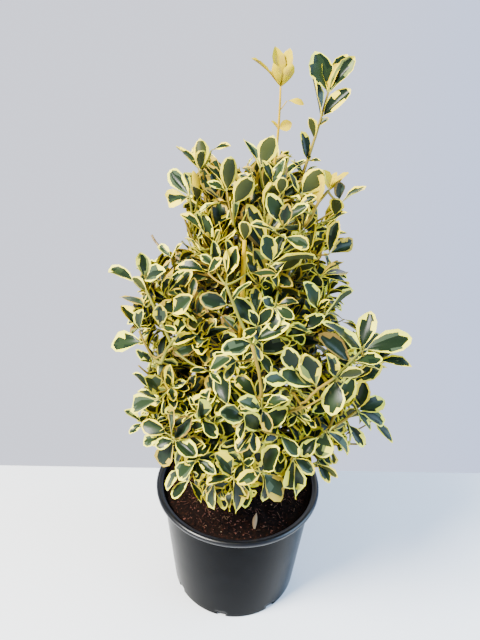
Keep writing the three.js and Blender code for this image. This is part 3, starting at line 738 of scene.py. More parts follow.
LATE = 0.6
LATE_CLOSES = 12
LAST_CLOSES = 22
LATE_SHORTENS = 0.06
LAST_SHORTENS = 0.30
LEAF_TURN_VARIES = 0.28
LEAF_SPREAD_VARIES = 0.26
LEAF_LENGTH_VARIES = 0.2
WALL_SLACK = 0.010
TWIG_SLACK = 0.006
DEEPEST = 0.22
BARE_BELOW = 0.60
UP = np.array([0, 0, 1.0])

# How each tier grows: leaf length, spread of its leaves in degrees, least and most bend of a leaf, how far
# its twigs climb, how far its leaves turn their faces to the sky and to the outside, the pitch from pair to
# pair, and how far its twigs stay inside the outline at least and at most
Habit = namedtuple("Habit", "leaf spread least_bend most_bend climb to_sky to_outside pitch least_in most_in")
HABITS = {
    "skirt": Habit(0.041, 62, 0.35, 1.30, 0.10, 0.40, 0.25, 0.0125, -0.04, 0.14),
    "lower": Habit(0.041, 62, 0.30, 1.25, 0.16, 0.36, 0.22, 0.0125, -0.04, 0.16),
    "middle": Habit(0.041, 58, 0.25, 1.10, 0.22, 0.30, 0.18, 0.0125, -0.04, 0.18),
    "upper": Habit(0.041, 52, 0.15, 0.95, 0.34, 0.20, 0.10, 0.0125, -0.03, 0.18),
    "crown": Habit(0.042, 42, 0.08, 0.75, 0.50, 0.05, 0.00, 0.0150, 0.00, 0.24),
    "top": Habit(0.043, 38, 0.05, 0.65, 0.60, 0.00, 0.00, 0.0170, 0.02, 0.30),
}
# How wide the leaves of the upper sprays are for their kind, and how often a leaf is all yellow
NARROWER = {"upper": 0.94, "crown": 0.85, "top": 0.82}
SOME_YELLOW = {"crown": 0.03, "top": 0.04}
RARELY_YELLOW = 0.006
# Sprays with longer leaves than their tier's
LONG_LEAVED = {"middle_2": 1.25, "skirt_2": 1.1, "lower_2": 1.1, "crown_1": 1.1}
# The yellow shoot's knee and tip, off the stem's tip
LEADER_KNEE = (0.006, 0, 0.052)
LEADER_TIP = (0.003, -0.004, 0.106)

# Places where the sky shows between the sprays: (azimuth, height, how deep, how wide in degrees, how tall)
OPENINGS = (
    (180, 0.598, 0.058, 52, 0.026),
    (182, 0.655, 0.012, 60, 0.030),
    (180, 0.405, 0.036, 40, 0.026),
    (2, 0.566, 0.020, 36, 0.018),
    (-4, 0.514, 0.040, 42, 0.018),
    (4, 0.394, 0.026, 34, 0.018),
    (-6, 0.262, 0.058, 60, 0.022),
    (-32, 0.285, 0.055, 34, 0.026),
    (-157, 0.432, 0.022, 26, 0.020),
    (-158, 0.282, 0.022, 26, 0.026),
    (-12, 0.632, 0.012, 40, 0.018),
    (-18, 0.425, 0.030, 18, 0.016),
)

# The shades of leaves: (name, base colour, roughness)
# Gold and ochre are leaf margin tones. They also serve as painted shade on the older leaves deep inside the
# crown.
SHADES = (
    ("cream", (0.86, 0.81, 0.06), 0.38),
    ("butter", (0.84, 0.68, 0.02), 0.38),
    ("gold", (0.44, 0.310, 0.026), 0.45),
    ("ochre", (0.20, 0.128, 0.022), 0.48),
    ("deep_green", (0.0080, 0.0170, 0.0072), 0.28),
    ("leaf_green", (0.015, 0.029, 0.010), 0.31),
    ("grey_green", (0.044, 0.068, 0.037), 0.40),
    ("sage", (0.150, 0.190, 0.050), 0.42),
    ("olive_back", (0.033, 0.041, 0.010), 0.52),
    ("cream_back", (0.700, 0.620, 0.060), 0.52),
    ("clear_yellow", (0.52, 0.390, 0.000), 0.75),
    ("leaf_stalk", (0.430, 0.410, 0.060), 0.45),
)
LEAF_SHINE = 0.12
shade_of = {name: i for i, (name, _, _) in enumerate(SHADES)}
leaf_shades = [plain_material(name, colour, roughness, LEAF_SHINE) for name, colour, roughness in SHADES]


def length_of(line):
    """The length of a run of points."""
    return np.linalg.norm(np.diff(line, axis=0), axis=-1).sum()


masses = []
for name, bend in limbs:
    start = ENTRY + CLEAR / length_of(bend_at(bend, np.linspace(0, 1, 201)))
    foot = bend_at(bend, start)
    masses.append((name, np.stack([foot, foot + bend_run(bend, start) * (1 - start) / 2, bend[2]])))
stem_tip = stem_point(STEM_TOP) + np.array([0, 0, CLEAR])
masses.append(("yellow_leader", np.stack([stem_tip, stem_tip + LEADER_KNEE, stem_tip + LEADER_TIP])))


def walls_of(masses):
    """For each mass, the planes midway between the nearest points of its stem's chord and every other's."""
    steps = np.linspace(0, 1, 25)[:, None]
    every = []
    for i, (_, one) in enumerate(masses):
        middles, normals = [], []
        for j, (_, other) in enumerate(masses):
            if i == j:
                continue
            here = one[0] + (one[2] - one[0]) * steps
            line = other[2] - other[0]
            share = np.clip((here - other[0]) @ line / (line @ line), 0, 1)[:, None]
            there = other[0] + share * line
            nearest = np.argmin(np.linalg.norm(here - there, axis=-1))
            middles.append((here[nearest] + there[nearest]) / 2)
            away = there[nearest] - here[nearest]
            normals.append(away / np.linalg.norm(away))
        every.append((np.array(middles), np.array(normals)))
    return every


walls = walls_of(masses)


def unit(vector):
    """A vector or rows of vectors at length one."""
    return vector / np.linalg.norm(vector, axis=-1, keepdims=True)


def side_at(along, turn):
    """The direction square to a twig at a turn about it, from level."""
    level = np.cross(UP, along)
    if np.linalg.norm(level) < 0.2:
        level = np.cross([0, 1.0, 0], along)
    level = unit(level)
    return level * math.cos(turn) + np.cross(along, level) * math.sin(turn)


def opened(along, side, spread):
    """What grows from a twig and opens from it to one side by its spread: its direction, and a face square to
    that, which looks to the twig's tip."""
    direction = along * math.cos(spread) + side * math.sin(spread)
    face = along * math.sin(spread) - side * math.cos(spread)
    return direction, face


def in_space(points, space, slack):
    """Whether all the points lie on the mass's own side of its walls, give or take the slack."""
    middles, normals = space
    return bool((((points[:, None] - middles) * normals).sum(-1) < slack).all())


def over_pot(points):
    """Whether all the points are above the rim, or inside it and above the soil."""
    over_rim = (points[:, 2] > POT_HEIGHT + 0.002).all()
    mouth = np.hypot(points[:, 0], points[:, 1]) < WALL_TOP_RADIUS - WALL - 0.004
    return bool(over_rim or (mouth.all() and (points[:, 2] > SOIL_TOP + 0.004).all()))


def depth_of(point):
    """How far out in the crown a point is, or each of many: 0 on the axis and 1 at the outline, which each
    opening draws in as a soft hollow."""
    x, y, z = np.moveaxis(point, -1, 0)
    azimuth = np.arctan2(y, x)
    out = reach(z, azimuth)
    for degrees, height, deep, wide, tall in OPENINGS:
        turned = azimuth - math.radians(degrees)
        off = np.arctan2(np.sin(turned), np.cos(turned)) / math.radians(wide)
        out = out - deep * np.exp(-(off**2) - ((z - height) / tall) ** 2)
    return np.hypot(x, y) / out


def in_reach(point, slack=0.0):
    """Whether a point is within the crown's outline, give or take the slack. The crown's top dips left of the
    stem as a soft hollow, and falls a little to the back."""
    dip = DIP_DEPTH * math.exp(-((point[0] - DIP_X) / DIP_HALF_WIDTH) ** 2)
    top = CROWN_TOP - dip - TOP_FALL * point[1] * (dip / DIP_DEPTH)
    return CROWN_FOOT < point[2] < top and depth_of(point) < 1 + slack


# A leaf: where it grows, its direction, where its upper side faces, its length, its bend in radians, how wide
# it is for its kind, and whether it is all yellow. Its order is its spray's number.
Leaf = namedtuple("Leaf", "spray order at direction face length bend wide yellow")
Twig = namedtuple("Twig", "spray order line foot_radius tip_radius")
leaf_rows = []
twig_rows = []


def usual_width(spray, order, seed):
    """How wide a leaf is for its kind: its tier's width, a little more or less."""
    return NARROWER.get(spray, 1) * (0.97 + jitter(0.18, order, seed, 12))


def keep_leaf(spray, order, at, direction, face, length, bend, wide, yellow=False):
    """Note one leaf, with its face made square to it."""
    face = unit(face - direction * (face @ direction))
    leaf_rows.append(Leaf(spray, order, at, direction, face, length, bend, wide, yellow))


def put_leaf(spray, order, at, along, turn, spread, length, seed, inset):
    """Keep one leaf if its tip stays in the mass's space and this far inside the reach, at full length or
    shorter. Its direction is the twig's turned by the spread to one side. Its upper face looks to the
    twig's tip, and a little to the sky and the outside. Returns whether the leaf is kept."""
    habit = HABITS[spray]
    if depth_of(at) < DEEPEST and at[2] < BARE_BELOW:
        return False
    direction, face = opened(along, side_at(along, turn), spread)
    outward = unit(np.array([at[0], at[1], 0.0]) + [1e-6, 0, 0])
    face = face + habit.to_sky * UP + habit.to_outside * outward
    bend = habit.least_bend + (habit.most_bend - habit.least_bend) * seeded(order, seed, 8) ** 1.3
    for share in LEAF_TRIES:
        tip = at + direction * length * share
        points = np.stack([at + 0.5 * (tip - at), tip])
        if in_reach(tip, -inset) and over_pot(points) and in_space(points, walls[order], WALL_SLACK):
            yellow = seeded(order, seed, 17) < SOME_YELLOW.get(spray, RARELY_YELLOW)
            wide = usual_width(spray, order, seed)
            keep_leaf(spray, order, at, direction, face, length * share, bend, wide, yellow)
            return True
    return False


def grow_twig(spray, order, line, seed, first, size):
    """Crossed pairs of leaves along one twig from its first share on, at an even pitch, and a rosette of
    three pairs at its tip. The leaves spread less and are shorter towards the tip. All of them stay as far
    inside the outline as their twig does. Returns the share of the twig where its last leaf stands."""
    habit = HABITS[spray]
    inset = habit.least_in + (habit.most_in - habit.least_in) * seeded(order, seed, 11)
    pairs = max(1, int((1 - first) * length_of(line) / habit.pitch))
    turn = jitter(0.8, order, seed, 3)
    last = 0
    for n, share in enumerate([*np.linspace(first, LAST_PAIR, pairs), *ROSETTE]):
        place = share * (len(line) - 1)
        low = min(int(place), len(line) - 2)
        at = line[low] + (place - low) * (line[low + 1] - line[low])
        along = unit(line[low + 1] - line[low])
        late = max(0, (share - LATE) / (1 - LATE))
        at_tip = share == 1.0
        opens = math.radians(habit.spread - LATE_CLOSES * late - LAST_CLOSES * at_tip)
        full = habit.leaf * size * (1 - LATE_SHORTENS * late - LAST_SHORTENS * at_tip)
        for k in (0, 1):
            each = seed * 20 + n * 2 + k
            turned = turn + math.pi * k + math.pi / 2 * n + jitter(LEAF_TURN_VARIES, order, each, 5)
            opens_now = opens + jitter(LEAF_SPREAD_VARIES, order, each, 6)
            long = full * (1 + jitter(LEAF_LENGTH_VARIES, order, each, 7))
            if put_leaf(spray, order, at, along, turned, opens_now, long, each, inset):
                last = share
    return last


# Every mass but the two leaders grows by this rule: the leaves of its own stem, then its twigs in crossed
# pairs, each as long as its space lets it.
for order, (name, bend) in enumerate(masses[:-2]):
    spray = name.split("_")[0]
    size = LONG_LEAVED.get(name, 1)
    stem_line = bend_at(bend, np.linspace(0, 1, 9))
    grow_twig(spray, order, stem_line, 1, LEAVES_FROM, size)
    for n, share in enumerate(TWIG_PLACES):
        at = bend_at(bend, share)
        along = unit(bend_run(bend, share))
        for k in (0, 1):
            seed = 10 + n * 2 + k
            turn = math.pi * k + math.pi / 2 * n + jitter(0.3, order, seed, 1)
            spread = math.radians(TWIG_OPENS + jitter(TWIG_OPENS_VARIES, order, seed, 2))
            heads, _ = opened(along, side_at(along, turn), spread)
            for shorter in TWIG_TRIES:
                long = length_of(stem_line) * (TWIG_LONGEST - TWIG_SHORTENS * share) * shorter
                long = long * (1 + jitter(TWIG_VARIES, order, seed, 4))
                tip = at + heads * TWIG_REACHES * long + np.array([0, 0, HABITS[spray].climb * long])
                twig_bend = np.stack([at, at + heads * TWIG_KNEE * long, tip])
                line = bend_at(twig_bend, np.linspace(0, 1, 6))
                fits = in_space(line, walls[order], TWIG_SLACK) and over_pot(line)
                if fits and in_reach(tip, -TWIG_TIP_INSET):
                    break
            else:
                continue
            last = grow_twig(spray, order, line, seed, TWIG_LEAVES_FROM, size)
            if last > 0:
                leafy = bend_at(twig_bend, np.linspace(0, last, 6))
                twig_rows.append(Twig(spray, order, leafy, *TWIG_RADII))

# Old leaves inside the crown
# The boughs keep some older, shaded leaves on the part below their sprays, in crossed pairs.
INNER_STEP = 0.009
INNER_LENGTH = 0.036
INNER_BEND = 0.6
INNER_FROM = 0.12
INNER_TO = 0.54
INNER_LOWEST = 0.24
INNER_INSET = 0.1
INNER_OPENS = 62
INNER_OPENS_VARIES = 18
INNER_TURN_VARIES = 0.5
INNER_LENGTH_VARIES = 0.25
INNER_TO_SKY = 0.3
for order, (name, bend) in enumerate(limbs):
    spray = name.split("_")[0]
    if name == "right_leader":
        continue
    pairs = int(length_of(bend_at(bend, np.linspace(INNER_FROM, INNER_TO, 12))) / INNER_STEP)
    for n in range(pairs):
        share = INNER_FROM + (INNER_TO - INNER_FROM) * n / pairs
        at = bend_at(bend, share)
        along = unit(bend_run(bend, share))
        for k in (0, 1):
            seed = 900 + n * 2 + k
            turn = math.pi * k + math.pi / 2 * n + jitter(INNER_TURN_VARIES, order, seed, 1)
            opens = math.radians(INNER_OPENS + jitter(INNER_OPENS_VARIES, order, seed, 2))
            direction, face = opened(along, side_at(along, turn), opens)
            face = face + INNER_TO_SKY * UP
            length = INNER_LENGTH * (1 + jitter(INNER_LENGTH_VARIES, order, seed, 3))
            tip = at + direction * length
            over = over_pot(np.stack([at + 0.5 * (tip - at), tip]))
            if over and at[2] > INNER_LOWEST and in_reach(tip, -INNER_INSET):
                wide = usual_width(spray, order, seed)
                keep_leaf(spray, order, at, direction, face, length, INNER_BEND, wide)

# Shoots on the main stem's top
# The stem's last part carries its own short shoots in crossed pairs, upright and close.
SHOOT_HEIGHTS = (0.500, 0.522, 0.544, 0.566, 0.588, 0.608, 0.626, 0.640)
SHOOT_LENGTH = 0.056
SHOOT_FIRST_TURN = 0.6
SHOOT_KNEE_OUT = 0.4
SHOOT_KNEE_UP = 0.2
SHOOT_TIP_OUT = 0.56
SHOOT_TIP_UP = 0.80
SHOOT_TIP_CLOSES = 16
SHOOT_TIP_SHORTENS = 0.25
SHOOT_LEAST_BEND = 0.15
SHOOT_MORE_BEND = 0.6
SHOOT_PAIRS = (0.45, 0.75, 0.92, 1.0)
SHOOT_RADII = (0.0014, 0.0008)
SHOOT_SEED = 50
top_habit = HABITS["top"]
top_order = len(masses) - 3
for n, height in enumerate(SHOOT_HEIGHTS):
    at = stem_point(height)
    for k in (0, 1):
        seed = 400 + n * 2 + k
        turn = math.pi * k + math.pi / 2 * n + SHOOT_FIRST_TURN
        aside = np.array([math.cos(turn), math.sin(turn), 0])
        long = SHOOT_LENGTH * (1 + jitter(0.2, SHOOT_SEED, seed, 1))
        knee = at + SHOOT_KNEE_OUT * long * aside + SHOOT_KNEE_UP * long * UP
        tip = at + SHOOT_TIP_OUT * long * aside + SHOOT_TIP_UP * long * UP
        line = bend_at(np.stack([at, knee, tip]), np.linspace(0, 1, 6))
        twig_rows.append(Twig("top", top_order, line, *SHOOT_RADII))
        along = unit(line[5] - line[3])
        for m, share in enumerate(SHOOT_PAIRS):
            place = bend_at(np.stack([line[0], line[2], line[5]]), share)
            at_tip = share == 1.0
            for side in (0, 1):
                each = seed * 10 + m * 2 + side
                turned = math.pi * side + math.pi / 2 * m + jitter(0.3, SHOOT_SEED, each, 2)
                opens = top_habit.spread - SHOOT_TIP_CLOSES * at_tip + jitter(9, SHOOT_SEED, each, 3)
                direction, face = opened(along, side_at(along, turned), math.radians(opens))
                full = top_habit.leaf * (1 - SHOOT_TIP_SHORTENS * at_tip)
                full = full * (1 + jitter(0.15, SHOOT_SEED, each, 4))
                bend = SHOOT_LEAST_BEND + SHOOT_MORE_BEND * seeded(SHOOT_SEED, each, 5)
                if in_reach(place + direction * full):
                    wide = usual_width("top", top_order, each)
                    keep_leaf("top", top_order, place, direction, face, full, bend, wide)

# Leaders
# Two young shoots stand over the crown: one all clear yellow on the tip of the main stem, with a close
# upright tuft at its end, and one beside it with green leaves edged in yellow.
# Their leaves, by where they are seen: (foot on the shoot's own line, leaves at that foot), and each leaf
# (tip, how many millimetres its tip is further off than its foot, turn in degrees from facing the viewer,
# bend, width for its kind). Places are pixels of the photographed view.
RIGHT_LEADER = (
    ((328, 94), (
        (315, 51, 6, 30, 0.1, 1.25), (355, 56, -6, 45, 0.1, 0.9), (347, 54, 16, 35, 0.2, 0.8),
        (320, 60, 14, 70, 0.2, 0.9),
    )),
    ((322, 118), ((351, 89, -8, 38, 0.1, 1.05), (312, 75, -4, 78, 0.1, 1.0))),
    ((320, 127), ((329, 118, -4, 50, 0.2, 1.3),)),
    ((315, 140), ((309, 117, -4, 145, 0.2, 1.2),)),
    ((307, 161), ((301, 131, -6, 52, 0.1, 1.0), (311, 155, -6, 40, 0.2, 1.2), (321, 161, -8, 60, 0.3, 0.8))),
    ((303, 174), ((290, 160, -4, 60, 0.7, 0.8), (318, 166, -4, 65, 0.3, 0.8), (296, 168, -8, 30, 0.3, 0.9))),
    ((300, 186), ((288, 176, -8, 40, 0.3, 0.9), (309, 170, -6, 60, 0.2, 1.0))),
)
RIGHT_LEADER_GOLD = (((329, 92), ((339, 63, 4, 35, 0.2, 1.0),)),)
YELLOW_LEADER = (
    ((281, 87), (
        (275, 46, 2, 35, 0.1, 0.85), (290, 48, 2, 35, 0.1, 0.85), (283, 54, 8, 20, 0.1, 0.9),
        (273, 63, -8, 150, -0.7, 1.1), (293, 64, -8, 150, -0.7, 1.1), (251, 58, 2, 70, 0.5, 0.6),
    )),
    ((280, 129), ((271, 121, -2, 60, 0.5, 1.1), (292, 123, -6, 15, 0.5, 1.5))),
    ((279, 154), ((274, 138, -2, 60, 0.2, 0.9),)),
)
SIDE_LEAF_FOOT = (283, 111)
SIDE_LEAF_BASE = (287, 101)
SIDE_LEAF_TIP = (304, 105)
SIDE_LEAF_NEARER = 0.004
SIDE_LEAF_TURN = 40
SIDE_LEAF_BEND = 1.0
SIDE_LEAF_WIDE = 0.75
SIDE_LEAF_RADII = (0.0006, 0.0005)
LEADER_RADII = (0.0019, 0.0011)


def seen_at(x, y, depth):
    """The point seen at a pixel at a given y, or one for each of many: along the line of sight from the
    camera, which goes so much right, so much up and a focal length ahead."""
    across, up = x - FRAME_WIDTH / 2, FRAME_HEIGHT / 2 - y
    sight = np.array(across * camera_right + up * camera_up + FOCAL_PIXELS * looks_along)
    share = (np.asarray(depth) - CAMERA_AT[1]) / sight[1]
    return np.array(CAMERA_AT) + share[..., None] * sight


def seen_on(line, x, y):
    """The point of a line that passes closest to the line of sight through a pixel."""
    sight = unit(seen_at(x, y, 0) - np.array(CAMERA_AT))
    off = np.linalg.norm(np.cross(line - np.array(CAMERA_AT), sight), axis=-1)
    return line[np.argmin(off)]


def seen_leaf(spray, order, base, tip, turn, bend, wide, yellow=False):
    """Keep a leaf from its base to its tip, with its upper side turned so far from the viewer, and to the sky
    rather than the ground. A bent leaf sets out above that run by half its bend, and is longer than it."""
    chord = np.linalg.norm(tip - base)
    towards = (tip - base) / chord
    view = unit(np.array(CAMERA_AT) - base)
    square = unit(view - (view @ towards) * towards)
    aside = math.sin(math.radians(turn)) * np.cross(towards, square)
    face = math.cos(math.radians(turn)) * square + (aside if aside[2] > 0 else -aside)
    direction = math.cos(bend / 2) * towards + math.sin(bend / 2) * face
    length = chord * (bend / 2) / math.sin(bend / 2)
    keep_leaf(spray, order, base, direction, face, length, bend, wide, yellow)


mass_bend = dict(masses)
leader_order = {name: order for order, (name, _) in enumerate(masses)}
yellow_order = leader_order["yellow_leader"]
yellow_line = bend_at(mass_bend["yellow_leader"], np.linspace(0, 1, 12))
twig_rows.append(Twig("yellow", yellow_order, yellow_line, *LEADER_RADII))
for name, spray, feet, yellow in (
    ("right_leader", "leader", RIGHT_LEADER, False),
    ("right_leader", "leader", RIGHT_LEADER_GOLD, True),
    ("yellow_leader", "yellow", YELLOW_LEADER, True),
):
    line = bend_at(mass_bend[name], np.linspace(0, 1, 200))
    for foot, leaves in feet:
        base = seen_on(line, *foot)
        for x, y, further, turn, bend, wide in leaves:
            tip = seen_at(x, y, base[1] + further / 1000)
            seen_leaf(spray, leader_order[name], base, tip, turn, bend, wide, yellow)
side_foot = seen_on(line, *SIDE_LEAF_FOOT)
side_base = seen_at(*SIDE_LEAF_BASE, side_foot[1])
side_tip = seen_at(*SIDE_LEAF_TIP, side_foot[1] - SIDE_LEAF_NEARER)
twig_rows.append(Twig("yellow", yellow_order, np.linspace(side_foot, side_base, 6), *SIDE_LEAF_RADII))
seen_leaf("yellow", yellow_order, side_base, side_tip, SIDE_LEAF_TURN, SIDE_LEAF_BEND, SIDE_LEAF_WIDE, True)

